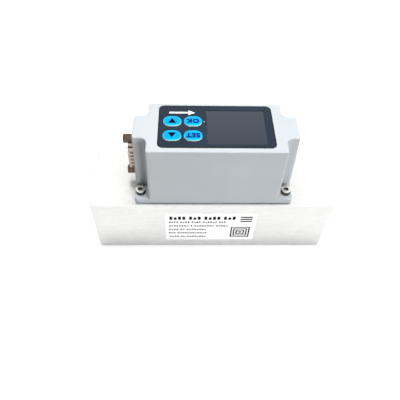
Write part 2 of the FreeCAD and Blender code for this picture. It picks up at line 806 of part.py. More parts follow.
def cross_corners(inset):
    """The housing's plan: a block with a narrower lobe at each end, drawn in by an inset."""
    block_x = f"(sizes.top_long / 2 - sizes.notch_long - {inset})"
    block_y = f"(sizes.top_deep / 2 - {inset})"
    lobe_x = f"(sizes.top_long / 2 - {inset})"
    lobe_y = f"(sizes.neck_deep / 2 - {inset})"
    quarter = [(lobe_x, lobe_y), (block_x, lobe_y), (block_x, block_y)]
    corners = list(quarter)
    corners += [(f"-{x}", y) for x, y in reversed(quarter)]
    corners += [(f"-{x}", f"-{y}") for x, y in quarter]
    corners += [(x, f"-{y}") for x, y in reversed(quarter)]
    return corners


def housing_outside(body):
    """Block, lobes and ears, rounded and then tapered from the top down."""
    high = f"sizes.total_high - {GASKET_TOP}"
    plan = new_sketch(body, "housing_plan", "XY_Plane", GASKET_TOP)
    polygon(plan, cross_corners("0"))
    pad(body, plan, "housing_block", high)
    ear_plan = new_sketch(body, "ear_plan", "XY_Plane", GASKET_TOP)
    rectangle(ear_plan, "0", "0", "sizes.top_long", "sizes.top_deep")
    solid = pad(body, ear_plan, "ears", "sizes.ear_thick")
    block_x = size("top_long") / 2 - size("notch_long")
    lobe_y = size("neck_deep") / 2

    def in_notch(low, high):
        at_corner = is_near(abs(low.x), block_x) and is_near(abs(low.y), lobe_y)
        return is_upright(low, high) and at_corner

    def on_corner(low, high):
        at_end = is_near(abs(low.x), size("top_long") / 2)
        at_side = is_near(abs(low.y), size("top_deep") / 2)
        return is_upright(low, high) and (at_end or at_side)

    hollow_corners = edges_where(solid.Shape, in_notch)
    solid = round_edges(body, solid, "notch_rounds", hollow_corners, "sizes.notch_round")
    outer_corners = edges_where(solid.Shape, on_corner)
    solid = round_edges(body, solid, "outer_rounds", outer_corners, "sizes.corner_round")
    faces = [name for name, _ in side_faces(solid.Shape)]
    solid = draft_faces(body, solid, "outer_taper", faces, size("total_high"))

    def on_top(low, high):
        return is_near(low.z, size("total_high")) and is_near(high.z, size("total_high"))

    return round_edges(body, solid, "top_rounds", edges_where(solid.Shape, on_top), "sizes.top_round")


def housing_cavity(body):
    """The hollow that the boards stand in, open below, tapered except behind the connector."""
    depth = f"{CEILING} - {GASKET_TOP}"
    plan = new_sketch(body, "cavity_plan", "XY_Plane", GASKET_TOP)
    polygon(plan, cross_corners("sizes.wall"))
    hollow = pocket(body, plan, "cavity", depth, along_normal=True)
    wall = size("wall")
    block_x = size("top_long") / 2 - size("notch_long") - wall
    lobe_y = size("neck_deep") / 2 - wall

    def in_notch(low, high):
        at_corner = is_near(abs(low.x), block_x) and is_near(abs(low.y), lobe_y)
        return is_upright(low, high) and at_corner

    corners = edges_where(hollow.Shape, in_notch)
    radius = "sizes.notch_round + sizes.wall"
    hollow = round_edges(body, hollow, "cavity_rounds", corners, radius)
    connector_wall = -(size("top_long") / 2 - wall)
    faces = []
    for name, middle in side_faces(hollow.Shape):
        if not is_near(middle.x, connector_wall):
            faces.append(name)
    ceiling = size("total_high") - size("roof_thick")
    return draft_faces(body, hollow, "cavity_taper", faces, ceiling, backwards=True)


def housing_roof(body):
    """The panel recess and the openings for window, keys and status lens."""
    recess = new_sketch(body, "fascia_recess_outline", "XY_Plane", "sizes.total_high")
    long = "sizes.fascia_long + 2 * sizes.fascia_gap"
    deep = "sizes.fascia_deep + 2 * sizes.fascia_gap"
    rectangle(recess, "0", "sizes.fascia_mid_y", long, deep)
    cut = pocket(body, recess, "fascia_recess", "sizes.recess_deep")
    half_long = size("fascia_long") / 2 + size("fascia_gap")

    def at_recess_corner(low, high):
        return is_upright(low, high) and is_near(abs(low.x), half_long)

    radius = "sizes.fascia_round + sizes.fascia_gap"
    round_edges(body, cut, "fascia_recess_rounds", edges_where(cut.Shape, at_recess_corner), radius)
    window = new_sketch(body, "window_opening_outline", "XY_Plane", RECESS_FLOOR)
    long = "sizes.window_long - 2 * sizes.window_ledge"
    deep = "sizes.window_deep - 2 * sizes.window_ledge"
    rectangle(window, "sizes.window_mid_x", "sizes.window_mid_y", long, deep)
    pocket(body, window, "window_opening", "sizes.roof_thick")
    lens = new_sketch(body, "lens_opening_outline", "XY_Plane", RECESS_FLOOR)
    circle(lens, "sizes.lens_x", "sizes.lens_y", "sizes.lens_across / 2 + sizes.lens_gap")
    pocket(body, lens, "lens_opening", "sizes.roof_thick")
    for key in KEYS:
        opening = new_sketch(body, f"{key}_opening_outline", "XY_Plane", RECESS_FLOOR)
        key_outline(opening, key, "sizes.key_gap")
        pocket(body, opening, f"{key}_opening", "sizes.roof_thick")


def housing_bosses(body):
    """Four screw bosses under the roof that carry the display board."""
    bosses = new_sketch(body, "boss_plan", "XY_Plane", CEILING)
    holes = new_sketch(body, "boss_hole_plan", "XY_Plane", DISPLAY_BOARD_TOP)
    for x, y in four_corners(BOSS_PITCH):
        circle(bosses, x, y, "sizes.boss_across / 2")
        circle(holes, x, y, "sizes.boss_hole_across / 2")
    pad(body, bosses, "bosses", "sizes.display_drop", backwards=True)
    pocket(body, holes, "boss_holes", "sizes.boss_hole_deep", along_normal=True)


def housing_connector_seat(body):
    """A flat seat on the -X end, with a D-shaped opening and a hole for each jack post."""
    seat = new_sketch(body, "connector_seat_outline", "YZ_Plane", f"-{DSUB_SEAT}")
    rectangle(seat, "0", CONNECTOR_MID, "sizes.dsub_seat_deep", "sizes.dsub_seat_high")
    pocket(body, seat, "connector_seat", "sizes.notch_long")
    opening = new_sketch(body, "connector_opening_outline", "YZ_Plane", f"-{DSUB_SEAT}")
    polygon(opening, d_corners("sizes.dsub_gap"))
    cut = pocket(body, opening, "connector_opening", "sizes.wall * 2", along_normal=True)
    half_deep = size("dsub_deep") / 2 + size("dsub_gap")

    def in_opening_corner(low, high):
        return runs_along_x(low, high) and is_near(abs(low.y), half_deep)

    corners = edges_where(cut.Shape, in_opening_corner)
    round_edges(body, cut, "connector_opening_rounds", corners, "sizes.dsub_round")
    holes = new_sketch(body, "jack_hole_marks", "YZ_Plane", f"-{DSUB_SEAT}")
    for sign in ("+", "-"):
        height = f"{CONNECTOR_MID} {sign} sizes.jack_pitch / 2"
        circle(holes, "0", height, "sizes.jack_panel_hole / 2")
    pocket(body, holes, "jack_holes", "sizes.wall * 2", along_normal=True)


def housing():
    """The moulded housing."""
    body = new_body("housing")
    housing_outside(body)
    housing_cavity(body)
    housing_roof(body)
    housing_bosses(body)
    housing_connector_seat(body)
    marks = new_sketch(body, "ear_hole_marks", "XY_Plane", EAR_TOP)
    for x, y in four_corners(EAR_PITCH):
        circle(marks, x, y, "sizes.ear_hole_across / 2")
    pocket(body, marks, "ear_holes", "sizes.ear_thick")


def base_gasket():
    """The flat seal between the bar and the housing, under the rim of the housing."""
    body = new_body("base_gasket")
    outline = new_sketch(body, "gasket_outline", "XY_Plane", "sizes.bar_high")
    spread = f"2 * (sizes.total_high - {GASKET_TOP}) * tan(sizes.draft) - 2 * sizes.gasket_inset"
    rectangle(outline, "0", "0", f"sizes.top_long + {spread}", f"sizes.top_deep + {spread}")
    blank = pad(body, outline, "gasket_blank", "sizes.gasket_thick")
    round_upright_corners(body, blank, "gasket_corners", "sizes.corner_round")
    hollow = new_sketch(body, "gasket_hollow_outline", "XY_Plane", "sizes.bar_high")
    polygon(hollow, cross_corners("sizes.wall"))
    through_pocket(body, hollow, "gasket_hollow")
    marks = new_sketch(body, "gasket_hole_marks", "XY_Plane", "sizes.bar_high")
    for x, y in four_corners(EAR_PITCH):
        circle(marks, x, y, "sizes.ear_hole_across / 2")
    through_pocket(body, marks, "gasket_holes")


# Screws


def screw_group(label, head_base, head_radius, head_high, shank_radius, shank_long, pitch, drive):
    """Four like screws in one node, their heads up or down, each with a socket or a slot."""
    pitch_x, pitch_y = pitch
    body = new_body(label)
    ahead, behind = ("+", "-") if drive["up"] else ("-", "+")
    centre = f"-{pitch_x} / 2"
    head_top = f"{head_base} {ahead} {head_high}"
    tip = f"{head_base} {behind} ({shank_long})"
    profile = [
        (centre, tip),
        (f"{centre} + {shank_radius}", tip),
        (f"{centre} + {shank_radius}", head_base),
        (f"{centre} + {head_radius}", head_base),
        (f"{centre} + {head_radius}", head_top),
        (centre, head_top),
    ]
    screw = turned(body, f"{label}_turned", "XZ_Plane", profile, offset=f"{pitch_y} / 2")
    recess = new_sketch(body, f"{label}_drive_outline", "XY_Plane", head_top)
    drive["draw"](recess, centre, f"-{pitch_y} / 2")
    cut = pocket(body, recess, f"{label}_drive", drive["deep"], along_normal=not drive["up"])
    grid(body, [screw, cut], pitch_x, pitch_y)


def hexagon_at(across):
    """Draws a hexagon of this size across its flats."""

    def draw(sketch, x, y):
        corners = []
        for side in range(6):
            turn = 60 * side + 30
            reach = f"{across} / 2 / cos(30)"
            corners.append((f"{x} + {reach} * cos({turn})", f"{y} + {reach} * sin({turn})"))
        polygon(sketch, corners)

    return draw


def slot_at(width, length):
    """Draws a straight slot across a screw head."""

    def draw(sketch, x, y):
        rectangle(sketch, x, y, length, width)

    return draw


def housing_screws():
    drive = {"up": True, "draw": hexagon_at("sizes.cap_hex"), "deep": "sizes.cap_hex_deep"}
    screw_group(
        "housing_screws",
        EAR_TOP,
        "sizes.cap_head_across / 2",
        "sizes.cap_head_high",
        "sizes.cap_shank / 2",
        "sizes.cap_shank_long",
        EAR_PITCH,
        drive,
    )


# Fascia, window, lens and keys


KEYS = {
    "down_key": (-1, 1),
    "up_key": (-1, -1),
    "enter_key": (1, 1),
    "menu_key": (1, -1),
}


def key_place(key):
    """The middle of a key as two expressions."""
    x_sign, y_sign = KEYS[key]
    x = f"(sizes.keys_mid_x + {x_sign} * sizes.key_pitch_x / 2)"
    y = f"(sizes.keys_mid_y + {y_sign} * sizes.key_pitch_y / 2)"
    return x, y


def key_outline(sketch, key, gap):
    """A slot-shaped outline: two straight sides and two half circles, grown by a gap."""
    x, y = key_place(key)
    radius = f"(sizes.key_deep / 2 + {gap})"
    reach = "(sizes.key_long / 2 - sizes.key_deep / 2)"
    x_sign, y_sign = KEYS[key]
    mid_x = size("keys_mid_x") + x_sign * size("key_pitch_x") / 2
    mid_y = size("keys_mid_y") + y_sign * size("key_pitch_y") / 2
    r = size("key_deep") / 2
    left_x, right_x = mid_x - size("key_long") / 2 + r, mid_x + size("key_long") / 2 - r
    near = Part.LineSegment(V(left_x, mid_y - r, 0), V(right_x, mid_y - r, 0))
    far = Part.LineSegment(V(right_x, mid_y + r, 0), V(left_x, mid_y + r, 0))
    quarter = math.pi / 2
    right = Part.ArcOfCircle(Part.Circle(V(right_x, mid_y, 0), V(0, 0, 1), r), -quarter, quarter)
    left = Part.ArcOfCircle(Part.Circle(V(left_x, mid_y, 0), V(0, 0, 1), r), quarter, 3 * quarter)
    near, right, far, left = (sketch.addGeometry(curve) for curve in (near, right, far, left))
    for curve, following in ((near, right), (right, far), (far, left), (left, near)):
        sketch.addConstraint(Sketcher.Constraint("Coincident", curve, 2, following, 1))
    bind_point(sketch, near, 1, f"{x} - {reach}", f"{y} - {radius}")
    bind_point(sketch, near, 2, f"{x} + {reach}", f"{y} - {radius}")
    bind_point(sketch, far, 1, f"{x} + {reach}", f"{y} + {radius}")
    bind_point(sketch, far, 2, f"{x} - {reach}", f"{y} + {radius}")
    for arc, sign, start in ((right, "+", right_x), (left, "-", left_x)):
        row = sketch.addConstraint(Sketcher.Constraint("DistanceX", -1, 1, arc, 3, start))
        sketch.setExpression(f"Constraints[{row}]", f"{x} {sign} {reach}")


def fascia():
    """The thin black panel in the recess, open over the window, the keys and the lens."""
    body = plate(
        "fascia",
        "0",
        "sizes.fascia_mid_y",
        "sizes.fascia_long",
        "sizes.fascia_deep",
        RECESS_FLOOR,
        "sizes.fascia_thick",
        "sizes.fascia_round",
    )
    openings = new_sketch(body, "fascia_openings_outline", "XY_Plane", RECESS_FLOOR)
    long = "sizes.window_long + 2 * sizes.fascia_gap"
    deep = "sizes.window_deep + 2 * sizes.fascia_gap"
    rectangle(openings, "sizes.window_mid_x", "sizes.window_mid_y", long, deep)
    circle(openings, "sizes.lens_x", "sizes.lens_y", "sizes.lens_across / 2 + sizes.lens_gap")
    through_pocket(body, openings, "fascia_openings")
    for key in KEYS:
        hole = new_sketch(body, f"fascia_{key}_outline", "XY_Plane", RECESS_FLOOR)
        key_outline(hole, key, "sizes.key_gap")
        through_pocket(body, hole, f"fascia_{key}_hole")


def display_window():
    plate(
        "display_window",
        "sizes.window_mid_x",
        "sizes.window_mid_y",
        "sizes.window_long",
        "sizes.window_deep",
        RECESS_FLOOR,
        "sizes.window_thick",
        "sizes.window_round",
    )


def status_light():
    """A stepped light pipe from the board's lamp up to the panel."""
    body = new_body("status_lens")
    base = f"{DISPLAY_BOARD_TOP} + sizes.led_high"
    collar = f"{CEILING} - sizes.key_rise"
    collar_base = f"{collar} - sizes.lens_collar_long"
    rod_x = "sizes.lens_x + sizes.lens_across / 2"
    collar_x = "sizes.lens_x + sizes.lens_collar / 2"
    profile = [
        ("sizes.lens_x", base),
        (rod_x, base),
        (rod_x, collar_base),
        (collar_x, collar_base),
        (collar_x, collar),
        (rod_x, collar),
        (rod_x, FASCIA_TOP),
        ("sizes.lens_x", FASCIA_TOP),
    ]
    turned(body, "lens_turned", "XZ_Plane", profile, offset="-sizes.lens_y")
    side = "sizes.lens_collar"
    block("status_lamp", "sizes.lens_x", "sizes.lens_y", DISPLAY_BOARD_TOP, side, side, "sizes.led_high")


def key_cap(key):
    """A key: cap through the panel, a lip below the roof that stops it, and a stem on its switch."""
    x, y = key_place(key)
    body = new_body(key)
    lip = new_sketch(body, f"{key}_lip_outline", "XY_Plane", LIP_TOP)
    rectangle(lip, x, y, "sizes.key_long", "sizes.key_deep + 2 * sizes.key_lip")
    pad(body, lip, f"{key}_lip", "sizes.key_lip_thick", backwards=True)
    cap = new_sketch(body, f"{key}_cap_outline", "XY_Plane", LIP_TOP)
    key_outline(cap, key, "0")
    pad(body, cap, f"{key}_cap", f"{KEY_TOP} - {LIP_TOP}")
    stem = new_sketch(body, f"{key}_stem_outline", "XY_Plane", LIP_TOP)
    circle(stem, x, y, "sizes.key_stem / 2")
    solid = pad(body, stem, f"{key}_stem", f"{LIP_TOP} - {PLUNGER_TOP}", backwards=True)
    top = size("total_high") - size("recess_deep") + size("fascia_thick") + size("key_proud")

    def on_top(low, high):
        return is_near(low.z, top) and is_near(high.z, top)

    round_edges(body, solid, f"{key}_edge", edges_where(solid.Shape, on_top), "sizes.key_edge")


def key_switch(key):
    """The round button of a key's switch, which goes down with the key."""
    x, y = key_place(key)
    body = new_body(key.replace("_key", "_plunger"))
    outline = new_sketch(body, f"{body.Label}_outline", "XY_Plane", PLUNGER_TOP)
    circle(outline, x, y, "sizes.plunger_across / 2")
    length = "sizes.plunger_proud + sizes.plunger_sunk"
    pad(body, outline, f"{body.Label}_rod", length, backwards=True)


def switch_cases():
    """The four switch cases on the display board, each with a well for its button."""
    body = new_body("switch_cases")
    cases = new_sketch(body, "switch_plan", "XY_Plane", DISPLAY_BOARD_TOP)
    wells = new_sketch(body, "well_plan", "XY_Plane", SWITCH_TOP)
    for key in KEYS:
        x, y = key_place(key)
        rectangle(cases, x, y, "sizes.switch_side", "sizes.switch_side")
        circle(wells, x, y, "sizes.plunger_across / 2 + sizes.plunger_gap")
    pad(body, cases, "switch_blocks", "sizes.switch_high")
    pocket(body, wells, "switch_wells", "sizes.plunger_well")


# Boards


def screw_holes(body, pitch, radius, height):
    """Four through holes in a board."""
    marks = new_sketch(body, f"{body.Label}_hole_marks", "XY_Plane", height)
    for x, y in four_corners(pitch):
        circle(marks, x, y, radius)
    through_pocket(body, marks, f"{body.Label}_holes")


def display_board():
    """The board under the roof, its screws, the display in its holder, and the link below."""
    long, deep = DISPLAY_BOARD_LONG, DISPLAY_BOARD_DEEP
    body = plate("display_board", "0", "0", long, deep, DISPLAY_BOARD_BASE, "sizes.board_thick")
    shank = "(sizes.boss_hole_across / 2 - sizes.thread_gap)"
    screw_holes(body, BOSS_PITCH, f"{shank} + sizes.board_hole_gap", DISPLAY_BOARD_BASE)
    slot = slot_at("sizes.board_screw_slot", "sizes.boss_screw_head")
    screw_group(
        "display_board_screws",
        DISPLAY_BOARD_BASE,
        "sizes.boss_screw_head / 2",
        "sizes.boss_screw_head_high",
        shank,
        "sizes.boss_screw_long + sizes.board_thick",
        BOSS_PITCH,
        {"up": False, "draw": slot, "deep": "sizes.board_screw_slot_deep"},
    )
    holder = new_body("display_holder")
    long = "sizes.window_long + sizes.holder_rim"
    deep = "sizes.window_deep + sizes.holder_rim"
    mid_x, mid_y = "sizes.window_mid_x", "sizes.window_mid_y"
    outline = new_sketch(holder, "holder_outline", "XY_Plane", DISPLAY_BOARD_TOP)
    rectangle(outline, mid_x, mid_y, long, deep)
    pad(holder, outline, "holder_block", "sizes.display_drop - sizes.holder_gap")
    well = new_sketch(holder, "holder_well_outline", "XY_Plane", f"{CEILING} - sizes.holder_gap")
    glass_long, glass_deep = f"{long} - 2 * sizes.holder_rim", f"{deep} - 2 * sizes.holder_rim"
    rectangle(well, mid_x, mid_y, glass_long, glass_deep)
    pocket(holder, well, "holder_well", "sizes.glass_thick")
    glass_base = f"{CEILING} - sizes.holder_gap - sizes.glass_thick"
    glass_long = f"{glass_long} - 2 * sizes.glass_gap"
    glass_deep = f"{glass_deep} - 2 * sizes.glass_gap"
    block("display_glass", mid_x, mid_y, glass_base, glass_long, glass_deep, "sizes.glass_thick")
    link_high = f"{DISPLAY_BOARD_BASE} - {MAIN_BOARD_TOP}"
    wide, long = "sizes.link_wide", "sizes.link_long"
    block("board_link", "sizes.link_x", "0", MAIN_BOARD_TOP, wide, long, link_high)


def main_board():
    """The board over the sensor, on four standoffs that screw into the bar."""
    long, deep = MAIN_BOARD_LONG, MAIN_BOARD_DEEP
    body = plate("main_board", "0", "0", long, deep, MAIN_BOARD_BASE, "sizes.board_thick")
    shank = "(sizes.board_screw_shank / 2)"
    screw_holes(body, STANDOFF_PITCH, f"{shank} + sizes.board_hole_gap", MAIN_BOARD_BASE)
    posts = new_body("standoffs")
    centre = f"-{STANDOFF_PITCH[0]} / 2"
    tip = "sizes.bar_high - sizes.standoff_stud"
    bore_floor = f"{MAIN_BOARD_BASE} - sizes.board_screw_long - sizes.thread_gap"
    bore_radius = f"({shank} + sizes.thread_gap)"
    profile = [
        (centre, tip),
        (f"{centre} + {shank}", tip),
        (f"{centre} + {shank}", "sizes.bar_high"),
        (f"{centre} + sizes.standoff_across / 2", "sizes.bar_high"),
        (f"{centre} + sizes.standoff_across / 2", MAIN_BOARD_BASE),
        (f"{centre} + {bore_radius}", MAIN_BOARD_BASE),
        (f"{centre} + {bore_radius}", bore_floor),
        (centre, bore_floor),
    ]
    post = turned(posts, "standoff_turned", "XZ_Plane", profile, offset=f"{STANDOFF_PITCH[1]} / 2")
    grid(posts, [post], *STANDOFF_PITCH)
    slot = slot_at("sizes.board_screw_slot", "sizes.board_screw_head")
    screw_group(
        "main_board_screws",
        MAIN_BOARD_TOP,
        "sizes.board_screw_head / 2",
        "sizes.board_screw_head_high",
        shank,
        "sizes.board_screw_long + sizes.board_thick",
        STANDOFF_PITCH,
        {"up": True, "draw": slot, "deep": "sizes.board_screw_slot_deep"},
    )


# Connector


def d_corners(gap, inset="0"):
    """The D shape of the connector in Y and Z, its long side towards -Y."""
    half_deep = f"(sizes.dsub_deep / 2 + {gap} - {inset})"
    long_side = f"(sizes.dsub_long / 2 + {gap} - {inset})"
    short_side = f"(sizes.dsub_short / 2 + {gap} - {inset})"
    return [
        (f"-{half_deep}", f"{CONNECTOR_MID} - {long_side}"),
        (half_deep, f"{CONNECTOR_MID} - {short_side}"),
        (half_deep, f"{CONNECTOR_MID} + {short_side}"),
        (f"-{half_deep}", f"{CONNECTOR_MID} + {long_side}"),
    ]


def runs_along_x(low, high):
    return math.hypot(low.y - high.y, low.z - high.z) < FACE_TOLERANCE


def connector_shell():
    """The folded steel flange and the D-shaped shell that stands out of the housing."""
    body = new_body("connector_shell")
    outline = new_sketch(body, "shell_outline", "YZ_Plane", f"-{DSUB_FLANGE_BACK}")
    polygon(outline, d_corners("0"))
    length = "sizes.dsub_flange_thick + sizes.dsub_reach"
    shell = pad(body, outline, "shell_block", length, backwards=True)
    corners = edges_where(shell.Shape, runs_along_x)
    round_edges(body, shell, "shell_rounds", corners, "sizes.dsub_round")
    flange = new_sketch(body, "connector_flange_outline", "YZ_Plane", f"-{DSUB_FLANGE_BACK}")
    rectangle(flange, "0", CONNECTOR_MID, "sizes.dsub_flange_deep", "sizes.dsub_flange_high")
    sheet_metal = pad(body, flange, "connector_flange", "sizes.dsub_flange_thick", backwards=True)
    half_deep = size("dsub_flange_deep") / 2

    def at_flange_corner(low, high):
        return runs_along_x(low, high) and is_near(abs(low.y), half_deep)

    corners = edges_where(sheet_metal.Shape, at_flange_corner)
    round_edges(body, sheet_metal, "connector_flange_rounds", corners, "sizes.dsub_flange_round")
    core = new_body("connector_shell_core")
    inside = new_sketch(core, "shell_inside_outline", "YZ_Plane", f"-{DSUB_FLANGE_BACK}")
    polygon(inside, d_corners("0", "sizes.dsub_wall"))
    solid = pad(core, inside, "shell_inside", length, backwards=True)
    corners = edges_where(solid.Shape, runs_along_x)
    round_edges(core, solid, "shell_inside_rounds", corners, "sizes.dsub_round - sizes.dsub_wall")
    hollow = body.newObject("PartDesign::Boolean", "shell_hollow")
    hollow.Type = "Cut"
    hollow.setObjects([core])
    doc.recompute()
    holes = new_sketch(body, "connector_flange_holes_outline", "YZ_Plane", f"-{DSUB_FLANGE_BACK}")
    for sign in ("+", "-"):
        height = f"{CONNECTOR_MID} {sign} sizes.jack_pitch / 2"
        circle(holes, "0", height, "sizes.jack_panel_hole / 2")
    through_pocket(body, holes, "connector_flange_holes")


def pin_places():
    """The nine contacts in Y and Z: five in the long row, four in the short one."""
    places = []
    for count, y_sign in ((5, "-"), (4, "")):
        for step in range(count):
            offset = step - (count - 1) / 2
            z = f"{CONNECTOR_MID} + {offset} * sizes.pin_pitch"
            places.append((f"{y_sign}sizes.pin_row_pitch / 2", z))
    return places


def connector_inside():
    """The insulator that holds the contacts, and the nine contact pins."""
    body = new_body("connector_insulator")
    face = f"-({DSUB_PANEL_BACK} + sizes.insulator_face)"
    front = new_sketch(body, "insulator_front_outline", "YZ_Plane", face)
    polygon(front, d_corners("0", "(sizes.dsub_wall + sizes.insulator_gap)"))
    length = "sizes.insulator_face + sizes.dsub_flange_thick"
    front_block = pad(body, front, "insulator_front", length)
    corners = edges_where(front_block.Shape, runs_along_x)
    radius = "sizes.dsub_round - sizes.dsub_wall - sizes.insulator_gap"
    round_edges(body, front_block, "insulator_rounds", corners, radius)
    rear = new_sketch(body, "insulator_rear_outline", "YZ_Plane", f"-{DSUB_FLANGE_BACK}")
    rectangle(rear, "0", CONNECTOR_MID, "sizes.insulator_rear_deep", "sizes.insulator_rear_high")
    pad(body, rear, "insulator_rear", "sizes.insulator_rear_long")
    holes = new_sketch(body, "insulator_holes_outline", "YZ_Plane", face)
    for y, z in pin_places():
        circle(holes, y, z, "sizes.pin_across / 2 + sizes.pin_gap")
    through_pocket(body, holes, "insulator_holes")
    pins = new_body("connector_pins")
    tips = new_sketch(
        pins, "pin_outlines", "YZ_Plane", f"-({DSUB_PANEL_BACK} + sizes.dsub_reach - sizes.pin_sunk)"
    )
    for y, z in pin_places():
        circle(tips, y, z, "sizes.pin_across / 2")
    length = f"{DSUB_PANEL_BACK} + sizes.dsub_reach - sizes.pin_sunk - {IO_BOARD_BACK} + sizes.pin_tail"
    pad(pins, tips, "pin_rods", length)


def jack_posts():
    """The two hexagonal posts that hold a mating plug, and the round nuts behind the flange."""
    body = new_body("jack_posts")
    heights = [f"{CONNECTOR_MID} {sign} sizes.jack_pitch / 2" for sign in ("+", "-")]
    hexes = new_sketch(body, "jack_hexes", "YZ_Plane", f"-{DSUB_SEAT}")
    stems = new_sketch(body, "jack_stems_outline", "YZ_Plane", f"-{DSUB_SEAT}")
    tips = new_sketch(body, "jack_tips", "YZ_Plane", f"-({DSUB_SEAT} + sizes.jack_long)")
    for height in heights:
        hexagon_at("sizes.jack_hex")(hexes, "0", height)
        circle(stems, "0", height, "sizes.jack_stem / 2")
        circle(tips, "0", height, "sizes.jack_hole_across / 2")
    pad(body, hexes, "jack_heads", "sizes.jack_long", backwards=True)
    stem_long = "sizes.wall + sizes.dsub_flange_thick + sizes.jack_nut_long - sizes.jack_stem_stop"
    pad(body, stems, "jack_stems", stem_long)
    pocket(body, tips, "jack_threads", "sizes.jack_hole_deep", along_normal=True)
    nuts = new_body("jack_nuts")
    rings = new_sketch(nuts, "jack_nut_outlines", "YZ_Plane", f"-{DSUB_FLANGE_BACK}")
    for height in heights:
        circle(rings, "0", height, "sizes.jack_nut_across / 2")
        circle(rings, "0", height, "sizes.jack_stem / 2 + sizes.thread_gap")
    pad(nuts, rings, "jack_nut_rings", "sizes.jack_nut_long")


def connector_board():
    """The small upright board on the pins, and the link that joins it to the main board."""
    body = new_body("connector_board")
    outline = new_sketch(body, "connector_board_outline", "YZ_Plane", f"-{IO_BOARD_FACE}")
    rectangle(outline, "0", CONNECTOR_MID, "sizes.io_board_deep", "sizes.io_board_high")
    for y, z in pin_places():
        circle(outline, y, z, "sizes.pin_across / 2 + sizes.pin_gap")
    pad(body, outline, "connector_board_blank", "sizes.board_thick")
    edge = f"{MAIN_BOARD_LONG} / 2"
    long = f"{IO_BOARD_BACK} - {edge} + sizes.io_link_lap"
    mid_x = f"(-({IO_BOARD_BACK} + {edge} - sizes.io_link_lap) / 2)"
    base = f"{MAIN_BOARD_BASE} - sizes.io_link_high"
    block("connector_link", mid_x, "0", base, long, "sizes.io_link_deep", "sizes.io_link_high")


def rating_label():
    """The label in its recess on the front of the bar."""
    body = new_body("rating_label")
    face = "sizes.bar_deep / 2 - sizes.label_recess"
    outline = new_sketch(body, "rating_label_outline", "XZ_Plane", face)
    rectangle(outline, "sizes.label_mid_x", "sizes.label_mid_z", "sizes.label_long", "sizes.label_high")
    film = pad(body, outline, "rating_label_film", "sizes.label_thick")

    def runs_along_y(low, high):
        return math.hypot(low.x - high.x, low.z - high.z) < FACE_TOLERANCE

    corners = edges_where(film.Shape, runs_along_y)
    round_edges(body, film, "rating_label_corners", corners, "sizes.label_round")


def build():
    flow_body()
    flow_conditioning()
    retaining_ring("inlet_retaining_ring", f"-{RING_OUTER_FACE}")
    retaining_ring("outlet_retaining_ring", RING_INNER_FACE)
    sensor_plug()
    plug_screws()
    sensor_o_ring()
    sensor()
    base_gasket()
    housing()
    housing_screws()
    fascia()
    display_window()
    status_light()
    for key in KEYS:
        key_cap(key)
        key_switch(key)
    switch_cases()
    display_board()
    main_board()
    connector_shell()
    connector_inside()
    jack_posts()
    connector_board()
    rating_label()


def write_nodes():
    """Check the document, then write one file for each sub-part."""
    doc.recompute()
    failed = [item.Label for item in doc.Objects if {"Invalid", "Error"} & set(item.State)]
    assert not failed, f"failed objects: {failed}"
    kinds = ("PartDesign::Body", "Part::Box", "Part::Torus", "Part::Feature")
    cutters = []
    for item in doc.Objects:
        if item.TypeId == "PartDesign::Boolean":
            cutters += item.Group
    nodes = [item for item in doc.Objects if item.TypeId in kinds and item not in cutters]
    for node in nodes:
        assert not node.Shape.isNull() and node.Shape.isValid(), f"{node.Label} has a bad shape"
    os.makedirs("parts", exist_ok=True)
    for node in nodes:
        node.Shape.exportStep(f"parts/{node.Label}.step")
        box = node.Shape.BoundBox
        sides = f"{box.XLength:.2f} x {box.YLength:.2f} x {box.ZLength:.2f}"
        print(f"{node.Label:24} {len(node.Shape.Solids)} solids, {sides}")


build()
write_nodes()
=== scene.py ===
import json
import math

import bmesh
import bpy
from mathutils import Matrix, Vector


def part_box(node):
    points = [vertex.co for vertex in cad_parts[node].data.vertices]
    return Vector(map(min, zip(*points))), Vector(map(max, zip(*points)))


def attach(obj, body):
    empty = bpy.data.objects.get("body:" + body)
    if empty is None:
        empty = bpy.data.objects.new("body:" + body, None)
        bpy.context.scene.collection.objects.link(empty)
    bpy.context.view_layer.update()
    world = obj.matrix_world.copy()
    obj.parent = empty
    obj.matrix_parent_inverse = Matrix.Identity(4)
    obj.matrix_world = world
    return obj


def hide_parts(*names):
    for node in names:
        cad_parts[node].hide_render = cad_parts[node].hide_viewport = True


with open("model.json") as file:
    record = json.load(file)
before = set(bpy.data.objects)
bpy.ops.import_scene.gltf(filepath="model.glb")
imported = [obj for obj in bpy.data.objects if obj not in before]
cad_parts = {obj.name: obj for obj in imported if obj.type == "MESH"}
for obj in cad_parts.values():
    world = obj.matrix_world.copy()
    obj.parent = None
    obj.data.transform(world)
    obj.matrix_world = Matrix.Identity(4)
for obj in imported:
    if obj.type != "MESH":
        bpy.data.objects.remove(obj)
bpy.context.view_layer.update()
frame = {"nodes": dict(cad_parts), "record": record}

MM = 0.001
NODES = frame["nodes"]
SLOT_OF = {part["node"]: part["material_slot"] for part in frame["record"]["subparts"]}
EVEN = (1.0, 1.0, 1.0)
KEY_HALF_LONG, KEY_HALF_DEEP = 4.9 * MM, 3.65 * MM


# Colours and node materials


def screen(red, green, blue):
    """A colour as it shows on a screen, 0 to 255, turned into the light values of a shader."""
    values = []
    for level in (red, green, blue):
        share = level / 255
        values.append(share / 12.92 if share <= 0.04045 else ((share + 0.055) / 1.055) ** 2.4)
    return (*values, 1.0)


